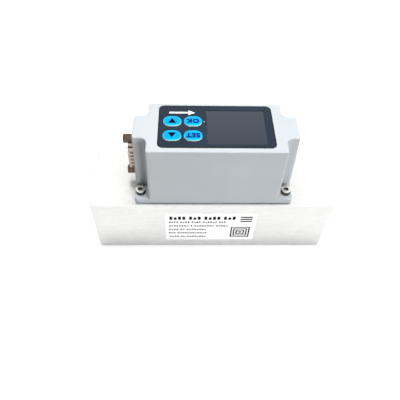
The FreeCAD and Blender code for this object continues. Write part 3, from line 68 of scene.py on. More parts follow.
class Finish:
    """A node material built up one node at a time around a Principled shader."""

    def __init__(self, name, **sockets):
        self.material = bpy.data.materials.new(name)
        self.material.use_nodes = True
        tree = self.material.node_tree
        self.nodes, self.links = tree.nodes, tree.links
        self.shader = self.nodes["Principled BSDF"]
        self.place = self.add("TexCoord").outputs["Object"]
        self.set(self.shader, sockets)

    def feed(self, socket, value):
        """Links an output into a socket, or gives the socket a plain value."""
        if isinstance(value, bpy.types.NodeSocket):
            self.links.new(value, socket)
        else:
            socket.default_value = value

    def set(self, node, sockets):
        """Feeds the sockets of a node by name, with _ for each space."""
        for name, value in sockets.items():
            self.feed(node.inputs[name.replace("_", " ")], value)

    def add(self, kind, **sockets):
        """Adds a shader node of this kind and feeds its sockets."""
        node = self.nodes.new("ShaderNode" + kind)
        self.set(node, sockets)
        return node

    def math(self, operation, first, second=0.0):
        """The result of a sum, product or other operation on one or two values."""
        node = self.add("Math")
        node.operation = operation
        for socket, value in zip(node.inputs, (first, second)):
            self.feed(socket, value)
        return node.outputs[0]

    def axes(self):
        """X, Y and Z of the object as three outputs, in metres."""
        return self.add("SeparateXYZ", Vector=self.place).outputs

    def noise(self, size, detail=2.0, stretch=EVEN):
        """Noise with features of about this size in metres, stretched along the axes."""
        scale = tuple(1 / (size * share) for share in stretch)
        placed = self.add("Mapping", Vector=self.place, Scale=scale).outputs[0]
        return self.add("TexNoise", Vector=placed, Scale=1.0, Detail=detail).outputs[0]

    def spread(self, value, low, high, near=0.35, far=0.65):
        """Takes a value from near..far to low..high."""
        ends = {"From_Min": near, "From_Max": far, "To_Min": low, "To_Max": high}
        return self.add("MapRange", Value=value, **ends).outputs[0]

    def tones(self, value, *stops):
        """A colour ramp: pairs of a place from 0 to 1 and a colour."""
        ramp = self.add("ValToRGB", Fac=value)
        points = ramp.color_ramp.elements
        while len(points) < len(stops):
            points.new(1.0)
        for point, (place, colour) in zip(points, stops):
            point.position, point.color = place, colour
        return ramp.outputs[0]

    def colour(self, value):
        """Feeds the base colour."""
        self.set(self.shader, {"Base_Color": value})

    def roughness(self, value):
        """Feeds the roughness."""
        self.set(self.shader, {"Roughness": value})

    def relief(self, height, depth, under=None):
        """Bump of this depth in metres, on top of an earlier bump if one is given."""
        bump = self.add("Bump", Height=height, Distance=depth, Strength=1.0)
        if under is not None:
            self.links.new(under, bump.inputs["Normal"])
        self.set(self.shader, {"Normal": bump.outputs[0]})
        return bump.outputs[0]


def mottled(name, light, dark, patch, rough, grain, depth, stretch=EVEN, **sockets):
    """Two close tones in soft patches, a range of roughness, and a fine relief."""
    finish = Finish(name, **sockets)
    finish.colour(finish.tones(finish.noise(patch, stretch=stretch), (0.3, dark), (0.7, light)))
    finish.roughness(finish.spread(finish.noise(patch / 3, stretch=stretch), *rough))
    finish.relief(finish.noise(grain, detail=3.0, stretch=stretch), depth)
    return finish


def bar_aluminium():
    """Bright satin bar: fine lines along X on the sides, and arcs of the cutter on the two ends."""
    finish = Finish("bar_aluminium", Metallic=0.8)
    x, y, z = finish.axes()
    along = (40.0, 1.0, 1.0)
    bar_end, bar_axis, cutter_off, cutter_pitch = 71.5 * MM, 22 * MM, 60 * MM, 0.6 * MM
    cloud = finish.noise(30 * MM, stretch=(2.0, 1.0, 1.0))
    finish.colour(finish.tones(cloud, (0.3, screen(236, 236, 235)), (0.7, screen(243, 243, 242))))
    lines = finish.noise(0.25 * MM, detail=4.0, stretch=along)
    finish.roughness(finish.spread(lines, 0.26, 0.36))
    on_end = finish.math("GREATER_THAN", finish.math("ABSOLUTE", x), bar_end)
    off_axis = finish.math("SUBTRACT", z, bar_axis)
    sideways = finish.math("ADD", y, cutter_off)
    sideways_squared = finish.math("MULTIPLY", sideways, sideways)
    off_axis_squared = finish.math("MULTIPLY", off_axis, off_axis)
    reach = finish.math("SQRT", finish.math("ADD", sideways_squared, off_axis_squared))
    arcs = finish.math("SINE", finish.math("MULTIPLY", reach, 2 * math.pi / cutter_pitch))
    marks = finish.math("MULTIPLY", arcs, on_end)
    bump = finish.relief(lines, 0.003 * MM)
    finish.relief(marks, 0.002 * MM, under=bump)
    return finish


def housing_plastic():
    """Satin moulded plastic with a fine spark-eroded texture."""
    finish = Finish("housing_plastic", IOR=1.5)
    cloud = finish.noise(22 * MM)
    finish.colour(finish.tones(cloud, (0.3, screen(166, 171, 175)), (0.7, screen(171, 176, 180))))
    texture = finish.noise(0.22 * MM, detail=3.0)
    finish.roughness(finish.spread(texture, 0.42, 0.54))
    finish.relief(texture, 0.012 * MM)
    return finish


def panel_film():
    """Blue-black gloss film with a near-black margin along its edges."""
    finish = Finish("panel_film", IOR=1.45, Specular_IOR_Level=0.4)
    x, y, _ = finish.axes()
    low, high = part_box("fascia")
    middle, half = (low + high) / 2, (high - low) / 2
    margin = 0.7 * MM
    off_x = finish.math("ABSOLUTE", finish.math("SUBTRACT", x, middle.x))
    off_y = finish.math("ABSOLUTE", finish.math("SUBTRACT", y, middle.y))
    past_x = finish.math("GREATER_THAN", off_x, half.x - margin)
    past_y = finish.math("GREATER_THAN", off_y, half.y - margin)
    rim = finish.math("MAXIMUM", past_x, past_y)
    cloud = finish.noise(18 * MM)
    print_tone = finish.spread(cloud, 0.35, 0.65)
    shown = finish.math("MULTIPLY", print_tone, finish.math("SUBTRACT", 1.0, rim))
    margin_tone, deep, pale = screen(3, 5, 9), screen(8, 24, 40), screen(14, 32, 48)
    finish.colour(finish.tones(shown, (0.0, margin_tone), (0.35, deep), (0.65, pale)))
    finish.roughness(finish.spread(cloud, 0.22, 0.3))
    finish.relief(finish.noise(0.5 * MM), 0.002 * MM)
    return finish


def window_smoke():
    """Smoked window over the unlit display, with painted shade that makes it a little darker
    towards the front.
    """
    finish = Finish("window_smoke", IOR=1.45)
    y = finish.axes()[1]
    low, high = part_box("display_window")
    share = finish.spread(y, 0.0, 1.0, near=low.y, far=high.y)
    # Painted shade: darker at the front edge, lighter at the rear.
    front, middle, rear = screen(32, 40, 52), screen(40, 46, 57), screen(44, 50, 58)
    finish.colour(finish.tones(share, (0.0, front), (0.5, middle), (1.0, rear)))
    finish.roughness(finish.spread(finish.noise(12 * MM), 0.12, 0.18))
    finish.relief(finish.noise(2 * MM), 0.001 * MM)
    return finish


def key_blue(name, key):
    """Bright blue key, with a painted highlight that makes it paler towards its rim and white on
    its sides.
    """
    finish = Finish(name, Specular_IOR_Level=0.18)
    x, y, z = finish.axes()
    low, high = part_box(key)
    middle = (low + high) / 2
    across = finish.math("DIVIDE", finish.math("SUBTRACT", x, middle.x), KEY_HALF_LONG)
    upright = finish.math("DIVIDE", finish.math("SUBTRACT", y, middle.y), KEY_HALF_DEEP)
    across_powered = finish.math("POWER", finish.math("ABSOLUTE", across), 4.0)
    upright_squared = finish.math("MULTIPLY", upright, upright)
    reach = finish.math("ADD", across_powered, upright_squared)
    # Painted highlight: the blue top runs from deep in the middle to pale at the rim.
    deep, blue, pale = screen(0, 132, 206), screen(0, 142, 213), screen(20, 184, 236)
    top = finish.tones(reach, (0.0, deep), (0.5, blue), (1.0, pale))
    # Painted highlight: the sides below the blue top are near white.
    side = screen(240, 240, 232)
    blue_deep = 0.42 * MM
    on_top = finish.math("GREATER_THAN", z, high.z - blue_deep)
    finish.colour(finish.add("MixRGB", Fac=on_top, Color1=side, Color2=top).outputs[0])
    finish.roughness(finish.spread(finish.noise(2 * MM), 0.35, 0.45))
    finish.relief(finish.noise(0.15 * MM), 0.004 * MM)
    return finish


def metal(name, light, dark, rough, stretch=EVEN, patch=8 * MM, grain=0.2 * MM):
    """A metal surface, drawn out along the axes if stretched."""
    return mottled(name, light, dark, patch, rough, grain, 0.004 * MM, stretch, Metallic=1.0)


def small_metal(name, light, dark, rough):
    """The metal of a detail of a few millimetres, with smaller patches and a finer grain."""
    return metal(name, light, dark, rough, patch=1 * MM, grain=0.1 * MM)


def printed(name, light, dark, patch, **sockets):
    """Dull printing ink."""
    return mottled(name, light, dark, patch, (0.5, 0.6), 0.1 * MM, 0.002 * MM, **sockets)


def make_finishes():
    """One finish for each of the record's material slots."""
    long_x = (25.0, 1.0, 1.0)
    return {
        "bar_aluminium": bar_aluminium(),
        "housing_plastic": housing_plastic(),
        "panel_black": panel_film(),
        "window_smoke": window_smoke(),
        "seal_rubber": mottled(
            "seal_rubber", screen(44, 46, 50), screen(34, 35, 38),
            4 * MM, (0.6, 0.75), 0.2 * MM, 0.01 * MM,
        ),
        "stainless": metal(
            "screw_stainless", screen(244, 243, 240), screen(230, 229, 226), (0.22, 0.32)
        ),
        "plated_steel": metal(
            "plated_steel", screen(196, 183, 172), screen(164, 149, 136), (0.16, 0.26)
        ),
        "contact_gold": metal(
            "contact_gold", screen(236, 203, 128), screen(222, 186, 106), (0.18, 0.26)
        ),
        "mesh_steel": metal(
            "mesh_steel", screen(190, 190, 188), screen(170, 170, 168), (0.3, 0.42)
        ),
        "comb_aluminium": metal(
            "comb_aluminium", screen(216, 217, 219), screen(198, 199, 202), (0.3, 0.4), long_x
        ),
        "black_plastic": mottled(
            "black_plastic", screen(34, 35, 38), screen(24, 25, 28),
            5 * MM, (0.45, 0.6), 0.15 * MM, 0.01 * MM,
        ),
        "board_green": mottled(
            "board_green", screen(30, 112, 70), screen(22, 92, 58),
            3 * MM, (0.3, 0.42), 0.3 * MM, 0.01 * MM,
        ),
        "blade_ceramic": mottled(
            "blade_ceramic", screen(236, 235, 230), screen(226, 225, 220),
            3 * MM, (0.4, 0.5), 0.1 * MM, 0.004 * MM,
        ),
        "chip_dark": mottled(
            "chip_dark", screen(70, 70, 78), screen(54, 54, 62),
            1 * MM, (0.1, 0.18), 0.1 * MM, 0.001 * MM,
        ),
        "display_glass": mottled(
            "display_glass", screen(150, 156, 152), screen(140, 147, 143),
            10 * MM, (0.08, 0.14), 1 * MM, 0.001 * MM, Coat_Weight=0.5,
        ),
        "holder_white": mottled(
            "holder_white", screen(226, 226, 222), screen(216, 216, 212),
            6 * MM, (0.4, 0.5), 0.2 * MM, 0.01 * MM,
        ),
        "lens_clear": mottled(
            "lens_clear", screen(124, 126, 132), screen(104, 106, 112),
            1 * MM, (0.1, 0.16), 0.2 * MM, 0.001 * MM, Coat_Weight=0.6,
        ),
        "label_film": mottled(
            "label_film", screen(250, 250, 250), screen(247, 247, 248),
            10 * MM, (0.42, 0.52), 0.3 * MM, 0.003 * MM,
        ),
        "key_blue": key_blue("key_blue", "up_key"),
    }


FINISHES = make_finishes()
PRINT_BLACK = printed(
    "print_black", screen(8, 8, 9), screen(3, 3, 4), 2 * MM, Specular_IOR_Level=0.05
)
PRINT_WHITE = printed("print_white", screen(246, 247, 248), screen(236, 238, 240), 2 * MM)
PRINT_NAVY = printed(
    "print_navy", screen(4, 12, 74), screen(2, 8, 58), 1 * MM, Specular_IOR_Level=0.1
)
# Painted shade on the walls of the hexagon sockets.
SOCKET_PAINTED_SHADE = small_metal("socket_painted_shade", screen(46, 46, 48), screen(30, 30, 32), (0.4, 0.5))
# Painted shade on the shell's dimples, a darker brown than the shell.
DIMPLE_PAINTED_SHADE = small_metal("dimple_painted_shade", screen(146, 130, 116), screen(112, 96, 84), (0.2, 0.3))
# Painted shade on the knurled sides of the screw heads.
KNURL_PAINTED_SHADE = small_metal("knurl_painted_shade", screen(112, 111, 110), screen(78, 77, 76), (0.25, 0.35))


def dress_cad_nodes():
    """Every node of the solid model gets the finish of its material slot."""
    for name, node in NODES.items():
        slot = SLOT_OF[name]
        node.data.materials.clear()
        node.data.materials.append(FINISHES[slot].material)


# Modelling by the operators of the mesh editor


def deselect():
    """Leaves nothing selected."""
    bpy.ops.object.select_all(action="DESELECT")


def only(piece):
    """Makes this the one selected and active object."""
    deselect()
    piece.select_set(True)
    bpy.context.view_layer.objects.active = piece


def bake_place(piece):
    """Moves the object's place, turn and scale into its mesh."""
    only(piece)
    bpy.ops.object.transform_apply(location=True, rotation=True, scale=True)
    return piece


def start(primitive, scale=EVEN, **settings):
    """Adds a primitive at its size and place and leaves its place in its mesh."""
    deselect()
    primitive(**settings)
    bpy.context.object.scale = scale
    return bake_place(bpy.context.object)


def edit(piece, mode="FACE"):
    """Enters edit mode on a piece with nothing selected."""
    only(piece)
    bpy.ops.object.mode_set(mode="EDIT")
    bpy.ops.mesh.select_mode(type=mode)
    bpy.ops.mesh.select_all(action="DESELECT")


def leave_edit():
    """Goes back to object mode."""
    bpy.ops.object.mode_set(mode="OBJECT")


def choose_faces(piece, wanted):
    """In edit mode, selects only the faces whose middle and normal pass a test."""
    mesh = bmesh.from_edit_mesh(piece.data)
    bpy.ops.mesh.select_all(action="DESELECT")
    for face in mesh.faces:
        face.select_set(wanted(face.calc_center_median(), face.normal))
    bmesh.update_edit_mesh(piece.data)


def choose_points(piece, wanted):
    """In edit mode, selects only the points whose place passes a test."""
    mesh = bmesh.from_edit_mesh(piece.data)
    bpy.ops.mesh.select_all(action="DESELECT")
    for point in mesh.verts:
        point.select_set(wanted(point.co))
    bmesh.update_edit_mesh(piece.data)


def facing_up(middle, normal):
    """Picks the faces that look up."""
    return normal.z > 0.9


def facing_down(middle, normal):
    """Picks the faces that look down."""
    return normal.z < -0.9


def bevel(piece, wanted, width, segments):
    """Bevels the edges of the faces that pass a test."""
    edit(piece)
    choose_faces(piece, wanted)
    bpy.ops.mesh.bevel(offset=width, segments=segments, affect="EDGES")
    leave_edit()


def apply_modifier(piece, kind, **settings):
    """Adds a modifier with these settings and applies it."""
    only(piece)
    modifier = piece.modifiers.new(kind.lower(), kind)
    for name, value in settings.items():
        setattr(modifier, name, value)
    bpy.ops.object.modifier_apply(modifier=modifier.name)


def cut_with(piece, tool):
    """Cuts the tool out of the piece and removes the tool."""
    apply_modifier(piece, "BOOLEAN", operation="DIFFERENCE", object=tool, solver="EXACT")
    bpy.data.objects.remove(tool)


def join(pieces):
    """Joins pieces into the first one's object."""
    only(pieces[0])
    for piece in pieces[1:]:
        piece.select_set(True)
    bpy.ops.object.join()
    return bpy.context.object


def copy_of(piece, offset):
    """A copy with its own mesh, moved by an offset."""
    twin = piece.copy()
    twin.data = piece.data.copy()
    bpy.context.scene.collection.objects.link(twin)
    twin.data.transform(Matrix.Translation(offset))
    return twin


def smooth(piece, degrees):
    """Shades a piece smooth where its faces meet at less than this angle."""
    only(piece)
    bpy.ops.object.shade_smooth_by_angle(angle=math.radians(degrees))


def settle(piece, name, finish, body="meter", replaced=()):
    """Names a finished piece, gives it its finish and slot, and rides it on its body."""
    bake_place(piece)
    piece.name = piece.data.name = name
    if finish is not None:
        piece.data.materials.clear()
        piece.data.materials.append(finish.material)
    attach(piece, body)
    if replaced:
        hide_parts(*replaced)


# Housing screws


HEAD_RADIUS, HEAD_HIGH = 2.75 * MM, 3.0 * MM
HEAD_FACETS = 72


def every_second_facet(middle, normal):
    """Picks every second facet around an upright head."""
    step = 360 / HEAD_FACETS
    turn = math.degrees(math.atan2(normal.y, normal.x)) % 360
    return abs(normal.z) < 0.2 and round((turn - step / 2) / step) % 2 == 0


def paint_screw(screw, centre, base, head_top):
    """Stainless on top, with painted shade darker on the knurled sides and darkest on the socket
    walls.
    """
    screw.data.materials.clear()
    for finish in (FINISHES["stainless"], KNURL_PAINTED_SHADE, SOCKET_PAINTED_SHADE):
        screw.data.materials.append(finish.material)
    socket_reach = 1.5 * MM
    knurl_reach, knurl_top = HEAD_RADIUS - 0.2 * MM, head_top - 0.4 * MM
    for face in screw.data.polygons:
        middle = face.center
        reach = math.hypot(middle.x - centre.x, middle.y - centre.y)
        on_wall = abs(face.normal.z) < 0.3 and base < middle.z < head_top
        socket_shade = on_wall and reach < socket_reach
        knurl_shade = reach > knurl_reach and middle.z < knurl_top
        # Socket walls and knurled sides take the painted shade.
        face.material_index = 2 if socket_shade else 1 if knurl_shade else 0


def cap_screw(centre, base, head_top):
    """A socket head cap screw: knurled head with rounded edges, hexagon socket and shank."""
    socket_half, socket_deep = 1.25 * MM, 1.5 * MM
    shank_radius, shank_long = 1.45 * MM, 8 * MM
    screw = start(
        bpy.ops.mesh.primitive_cylinder_add,
        vertices=HEAD_FACETS,
        radius=HEAD_RADIUS,
        depth=HEAD_HIGH,
        location=(centre.x, centre.y, (base + head_top) / 2),
    )
    edit(screw)
    choose_faces(screw, facing_up)
    bpy.ops.mesh.bevel(offset=0.35 * MM, segments=3, affect="EDGES")
    choose_faces(screw, every_second_facet)
    bpy.ops.mesh.inset(thickness=0.03 * MM, depth=-0.09 * MM, use_individual=True)
    leave_edit()
    socket_floor = head_top - socket_deep
    socket = start(
        bpy.ops.mesh.primitive_cylinder_add,
        vertices=6,
        radius=socket_half / math.cos(math.pi / 6),
        depth=2 * socket_deep,
        location=(centre.x, centre.y, socket_floor + socket_deep),
    )
    cut_with(screw, socket)
    mouth = start(
        bpy.ops.mesh.primitive_cone_add,
        vertices=48,
        radius1=1.2 * MM,
        radius2=1.62 * MM,
        depth=0.5 * MM,
        location=(centre.x, centre.y, head_top),
    )
    cut_with(screw, mouth)
    shank = start(
        bpy.ops.mesh.primitive_cylinder_add,
        vertices=32,
        radius=shank_radius,
        depth=shank_long,
        location=(centre.x, centre.y, base - shank_long / 2),
    )
    bevel(shank, facing_down, 0.3 * MM, 1)
    whole = join([screw, shank])
    paint_screw(whole, centre, base, head_top)
    return whole


def housing_screws():
    """The four screws in the ears of the housing, as copies of the front left one."""
    low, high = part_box("housing_screws")
    base = high.z - HEAD_HIGH
    reach_x = high.x - HEAD_RADIUS
    reach_y = high.y - HEAD_RADIUS
    first = cap_screw(Vector((-reach_x, -reach_y, 0)), base, high.z)
    smooth(first, 30)
    places = {
        "front_left": (0, 0),
        "front_right": (1, 0),
        "rear_left": (0, 1),
        "rear_right": (1, 1),
    }
    for name, (across, back) in places.items():
        screw = copy_of(first, (2 * reach_x * across, 2 * reach_y * back, 0))
        settle(screw, f"cap_screw_{name}", None, replaced=["housing_screws"])
    bpy.data.objects.remove(first)


# Keys


def stadium(centre, half_long, half_deep, base, high):
    """A slot-shaped block: a round disc pulled apart along X."""
    block = start(
        bpy.ops.mesh.primitive_cylinder_add,
        vertices=64,
        radius=half_deep,
        depth=high,
        location=(centre.x, centre.y, base + high / 2),
    )
    pull = half_long - half_deep
    edit(block, "VERT")
    for side in (-1, 1):
        choose_points(block, lambda place: (place.x - centre.x) * side > 0.01 * MM)
        bpy.ops.transform.translate(value=(side * pull, 0, 0))
    leave_edit()
    return block


def key_cap(key):
    """A crowned cap with a soft rim, on the lip and stem that guide it in the housing."""
    low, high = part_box(key)
    centre = (low + high) / 2
    cap_high, crown, legend_sunk = 3.3 * MM, 0.1 * MM, 0.03 * MM
    lip_long, lip_deep, lip_high = 9.8 * MM, 9.1 * MM, 0.9 * MM
    lip_top = high.z - cap_high
    cap = stadium(centre, KEY_HALF_LONG, KEY_HALF_DEEP, lip_top, high.z - crown - lip_top)
    edit(cap)
    choose_faces(cap, facing_up)
    bpy.ops.mesh.bevel(offset=0.4 * MM, segments=4, affect="EDGES")
    choose_faces(cap, lambda middle, normal: normal.z > 0.99)
    for thickness, rise in ((0.3, -0.05), (0.15, 0.0), (0.25, 0.06), (0.7, 0.05), (0.9, 0.02)):
        bpy.ops.mesh.inset(thickness=thickness * MM, depth=rise * MM)
    leave_edit()
    smooth(cap, 40)
    lip = start(
        bpy.ops.mesh.primitive_cube_add,
        size=1,
        location=(centre.x, centre.y, lip_top - lip_high / 2),
        scale=(lip_long, lip_deep, lip_high),
    )
    bevel(lip, lambda middle, normal: True, 0.15 * MM, 2)
    stem = start(
        bpy.ops.mesh.primitive_cylinder_add,
        vertices=32,
        radius=1.5 * MM,
        depth=lip_top - lip_high - low.z,
        location=(centre.x, centre.y, (low.z + lip_top - lip_high) / 2),
    )
    bevel(stem, facing_down, 0.2 * MM, 2)
    whole = join([cap, lip, stem])
    finish = key_blue(f"{key}_blue", key)
    settle(whole, f"{key}_cap", finish, body=key, replaced=[key])
    return centre, high.z - legend_sunk


def arrowhead(name, centre, top, body, towards):
    """A black triangle on a key; towards is 1 when it points to +Y and -1 when to -Y."""
    set_back = 0.6 * MM
    mark = start(
        bpy.ops.mesh.primitive_cylinder_add,
        vertices=3,
        radius=2.55 * MM,
        depth=0.05 * MM,
        location=(centre.x, centre.y - towards * set_back, top),
        rotation=(0, 0, 0 if towards > 0 else math.pi),
    )
    settle(mark, name, PRINT_BLACK, body=body)


def word(name, letters, centre, top, body, tall):
    """A printed word that reads from the far side, as thin raised letters."""
    deselect()
    bpy.ops.object.text_add(location=(centre.x, centre.y, top), rotation=(0, 0, math.pi))
    piece = bpy.context.object
    piece.data.body = letters
    piece.data.size = tall
    piece.data.align_x, piece.data.align_y = "CENTER", "CENTER"
    piece.data.extrude = 0.02 * MM
    piece.data.offset = 0.22 * MM
    piece.data.space_character = 1.15
    piece.data.resolution_u = 4
    only(piece)
    bpy.ops.object.convert(target="MESH")
    settle(bpy.context.object, name, PRINT_NAVY, body=body)


def keys():
    """The four key caps, each with its triangle or word."""
    letter_high = 4.2 * MM
    tops = {key: key_cap(key) for key in ("up_key", "down_key", "menu_key", "enter_key")}
    arrowhead("up_key_arrow", *tops["up_key"], "up_key", -1)
    arrowhead("down_key_arrow", *tops["down_key"], "down_key", 1)
    word("menu_key_word", "SET", *tops["menu_key"], "menu_key", letter_high)
    word("enter_key_word", "OK", *tops["enter_key"], "enter_key", letter_high)


# Port threads and connector


def turned_thread(name, middle, start_x, length, radius, pitch, height, finish):
    """An inside thread: a ridge wound along X, its foot sunk in the wall of a hole."""
    sunk = 0.02 * MM
    half_foot = pitch * 0.42
    ridge = start(
        bpy.ops.mesh.primitive_circle_add,
        vertices=3,
        radius=1,
        location=(start_x, 0, radius + sunk - height / 3),
        rotation=(-math.pi / 2, 0, 0),
        scale=(2 * half_foot / math.sqrt(3), height / 1.5, 1),
    )
    apply_modifier(
        ridge,
        "SCREW",
        axis="X",
        angle=2 * math.pi,
        screw_offset=pitch,
        iterations=int(length / pitch),
        steps=40,
        render_steps=40,
        use_merge_vertices=False,
    )
    edit(ridge, "EDGE")
    bpy.ops.mesh.select_all(action="SELECT")
    bpy.ops.mesh.fill_holes(sides=4)
    bpy.ops.mesh.select_all(action="SELECT")
    bpy.ops.mesh.normals_make_consistent(inside=False)
    leave_edit()
    ridge.location = (0, middle.y, middle.z)
    smooth(ridge, 20)
    settle(ridge, name, finish)


def port_threads():
    """The pipe thread inside both ports."""
    low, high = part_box("flow_body")
    middle = (low + high) / 2
    inset, length, radius = 2.2 * MM, 14.5 * MM, 12.06 * MM
    pitch, height = 1.814 * MM, 0.75 * MM
    finish = FINISHES["bar_aluminium"]
    starts = {"inlet_thread": low.x + inset, "outlet_thread": high.x - inset - length}
    for name, start_x in starts.items():
        turned_thread(
            name, middle, start_x, length, radius, pitch, height, finish
        )


def jack_posts():
    """Two hexagonal posts with rounded ends, a threaded hole and a thinner stem behind."""
    low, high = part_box("jack_posts")
    across, hexagon_long = 4.75 * MM, 6.0 * MM
    hole_radius, hole_deep, hole_middle = 1.13 * MM, 4.8 * MM, 2.3 * MM
    thread_inset, thread_long, thread_pitch, thread_high = 0.5 * MM, 3.6 * MM, 0.635 * MM, 0.2 * MM
    corner = across / math.sqrt(3)
    seat_x, tip_x = low.x + hexagon_long, low.x
    # Warm plated tone like the shell, darkened to near black-brown as painted reflection.
    finish = metal(
        "post_steel_painted_reflection", screen(124, 105, 88), screen(78, 60, 48), (0.14, 0.24), patch=2 * MM
    )
    for name, z in (("upper", high.z - corner), ("lower", low.z + corner)):
        post = start(
            bpy.ops.mesh.primitive_cylinder_add,
            vertices=6,
            radius=corner,
            depth=seat_x - tip_x,
            location=((seat_x + tip_x) / 2, 0, z),
            rotation=(0, math.pi / 2, 0),
        )
        bevel(post, lambda middle, normal: abs(normal.x) > 0.9, 0.3 * MM, 2)
        hole = start(
            bpy.ops.mesh.primitive_cylinder_add,
            vertices=32,
            radius=hole_radius,
            depth=hole_deep,
            location=(tip_x + hole_middle, 0, z),
            rotation=(0, math.pi / 2, 0),
        )
        cut_with(post, hole)
        stem = start(
            bpy.ops.mesh.primitive_cylinder_add,
            vertices=24,
            radius=1.4 * MM,
            depth=high.x - seat_x,
            location=((high.x + seat_x) / 2, 0, z),
            rotation=(0, math.pi / 2, 0),
        )
        whole = join([post, stem])
        smooth(whole, 25)
        settle(whole, f"jack_post_{name}", finish, replaced=["jack_posts"])
        turned_thread(
            f"jack_thread_{name}", Vector((0, 0, z)), tip_x + thread_inset, thread_long,
            hole_radius, thread_pitch, thread_high, finish,
        )


def nine_places(middle_z, half_gap, pitch):
    """Y and Z of a front row of five places and a rear row of four; gap and pitch in mm."""
    places = []
    for count, y in ((5, -half_gap * MM), (4, half_gap * MM)):
        for step in range(count):
            places.append((y, middle_z + (step - (count - 1) / 2) * pitch * MM))
    return places


def pin_tips():
    """Rounded ends on the nine contacts."""
    low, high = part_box("connector_pins")
    tip_x = low.x + 0.02 * MM
    pieces = []
    for y, z in nine_places((low.z + high.z) / 2, half_gap=1.42, pitch=2.77):
        tip = start(
            bpy.ops.mesh.primitive_uv_sphere_add,
            segments=16,
            ring_count=8,
            radius=0.5 * MM,
            location=(tip_x, y, z),
        )
        edit(tip, "VERT")
        bpy.ops.mesh.select_all(action="SELECT")
        bpy.ops.mesh.bisect(
            plane_co=(tip_x, y, z), plane_no=(1, 0, 0), clear_outer=True, use_fill=True
        )
        leave_edit()
        pieces.append(tip)
    whole = join(pieces)
    smooth(whole, 40)
    settle(whole, "contact_tips", FINISHES["contact_gold"])


def shell_dimples():
    """The rows of pressed dimples along both long sides of the shell, darker than the shell as
    painted shade.
    """
    low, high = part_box("connector_shell")
    x = low.x + 2.0 * MM
    pieces = []
    for y, z in nine_places((low.z + high.z) / 2, half_gap=4.15, pitch=2.8):
        dimple = start(
            bpy.ops.mesh.primitive_uv_sphere_add,
            segments=20,
            ring_count=10,
            radius=0.8 * MM,
            location=(x, y, z),
            scale=(1.3, 0.45, 1),
        )
        pieces.append(dimple)
    whole = join(pieces)
    smooth(whole, 60)
    settle(whole, "shell_dimples", DIMPLE_PAINTED_SHADE)


# Print


PRINT_THICK = 0.015 * MM


def thin_plate(low, high):
    """A flat block between two corners."""
    size = Vector(high) - Vector(low)
    middle = (Vector(high) + Vector(low)) / 2
    return start(bpy.ops.mesh.primitive_cube_add, size=1, location=middle, scale=size)


def print_marks(name, boxes, finish):
    """Several flat marks, each given by its two corners, as one printed layer."""
    marks = [thin_plate(low, high) for low, high in boxes]
    settle(join(marks), name, finish)


# The label in mm. A line has its left end, middle height, block height and pitch, then the
# number of blocks in each word.
LABEL_LINES = (
    (-26.1, 31.5, 3.3, 2.62, (4, 3, 4, 3)),
    (-26.5, 27.2, 1.5, 1.52, (4, 4, 4, 6, 3)),
    (-26.6, 23.2, 1.5, 1.56, (8, 1, 8, 5)),
    (-26.7, 19.2, 1.5, 1.56, (4, 2, 8)),
    (-26.9, 15.4, 1.5, 1.56, (3, 12)),
    (-26.4, 11.2, 1.5, 1.56, (4, 2, 8)),
)
BLOCK_SHARE, GAP_SHARE, CUT_SHARE = 0.64, 0.55, 0.25
BAR_LEFT, BAR_RIGHT, BAR_HIGH, BAR_BASES = 17.2, 24.4, 1.2, (27.5, 29.7, 31.9)
SQUARE_LEFT, SQUARE_RIGHT, SQUARE_BASE, SQUARE_TOP = 12.0, 24.0, 10.6, 22.0
SQUARE_THICK, SQUARE_INSETS = 0.85, (0.0, 1.65, 3.3, 4.95)


def label_marks():
    """Plain blocks in rows where the label has lines of print, three bars and a ruled square."""
    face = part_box("rating_label")[0].y
    back, front = face - PRINT_THICK, face + PRINT_THICK
    boxes = []

    def bar(x_low, x_high, z_low, z_high):
        """One mark between these ends, in mm."""
        boxes.append(((x_low * MM, back, z_low * MM), (x_high * MM, front, z_high * MM)))

    for x, middle, high, pitch, words in LABEL_LINES:
        for blocks in words:
            for block in range(blocks):
                cut = CUT_SHARE * high if block % 3 == 1 else 0.0
                bar(x, x + BLOCK_SHARE * pitch, middle - high / 2, middle + high / 2 - cut)
                x += pitch
            x += GAP_SHARE * pitch
    for base in BAR_BASES:
        bar(BAR_LEFT, BAR_RIGHT, base, base + BAR_HIGH)
    for inset in SQUARE_INSETS:
        left, right = SQUARE_LEFT + inset, SQUARE_RIGHT - inset
        base, top = SQUARE_BASE + inset, SQUARE_TOP - inset
        bar(left, right, base, base + SQUARE_THICK)
        bar(left, right, top - SQUARE_THICK, top)
        bar(left, left + SQUARE_THICK, base + SQUARE_THICK, top - SQUARE_THICK)
        bar(right - SQUARE_THICK, right, base + SQUARE_THICK, top - SQUARE_THICK)
    print_marks("label_print", boxes, PRINT_BLACK)


def panel_mark():
    """A plain flow arrow in white above the keys, in place of a name."""
    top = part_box("fascia")[1].z
    left, right, middle = -25.4 * MM, -11.2 * MM, 11.1 * MM
    head_long, head_half, shaft_half = 3.6 * MM, 1.75 * MM, 0.55 * MM
    shaft = thin_plate(
        (left, middle - shaft_half, top - PRINT_THICK),
        (right - head_long, middle + shaft_half, top + PRINT_THICK),
    )
    head = start(
        bpy.ops.mesh.primitive_cylinder_add,
        vertices=3,
        radius=1,
        depth=1,
        location=(right - head_long * 2 / 3, middle, top),
        rotation=(0, 0, -math.pi / 2),
        scale=(head_half / math.cos(math.pi / 6), head_long / 1.5, 2 * PRINT_THICK),
    )
    settle(join([shaft, head]), "flow_arrow", PRINT_WHITE)


# Room, light and camera


def soft_lamp(name, place, aim, size, power):
    """A large soft lamp that reflections don't show."""
    data = bpy.data.lights.new(name, "AREA")
    data.shape = "RECTANGLE"
    data.size, data.size_y = size
    data.energy = power
    lamp = bpy.data.objects.new(name, data)
    bpy.context.scene.collection.objects.link(lamp)
    lamp.location = place
    lamp.rotation_euler = (Vector(aim) - Vector(place)).to_track_quat("-Z", "Y").to_euler()
    lamp.visible_glossy = False


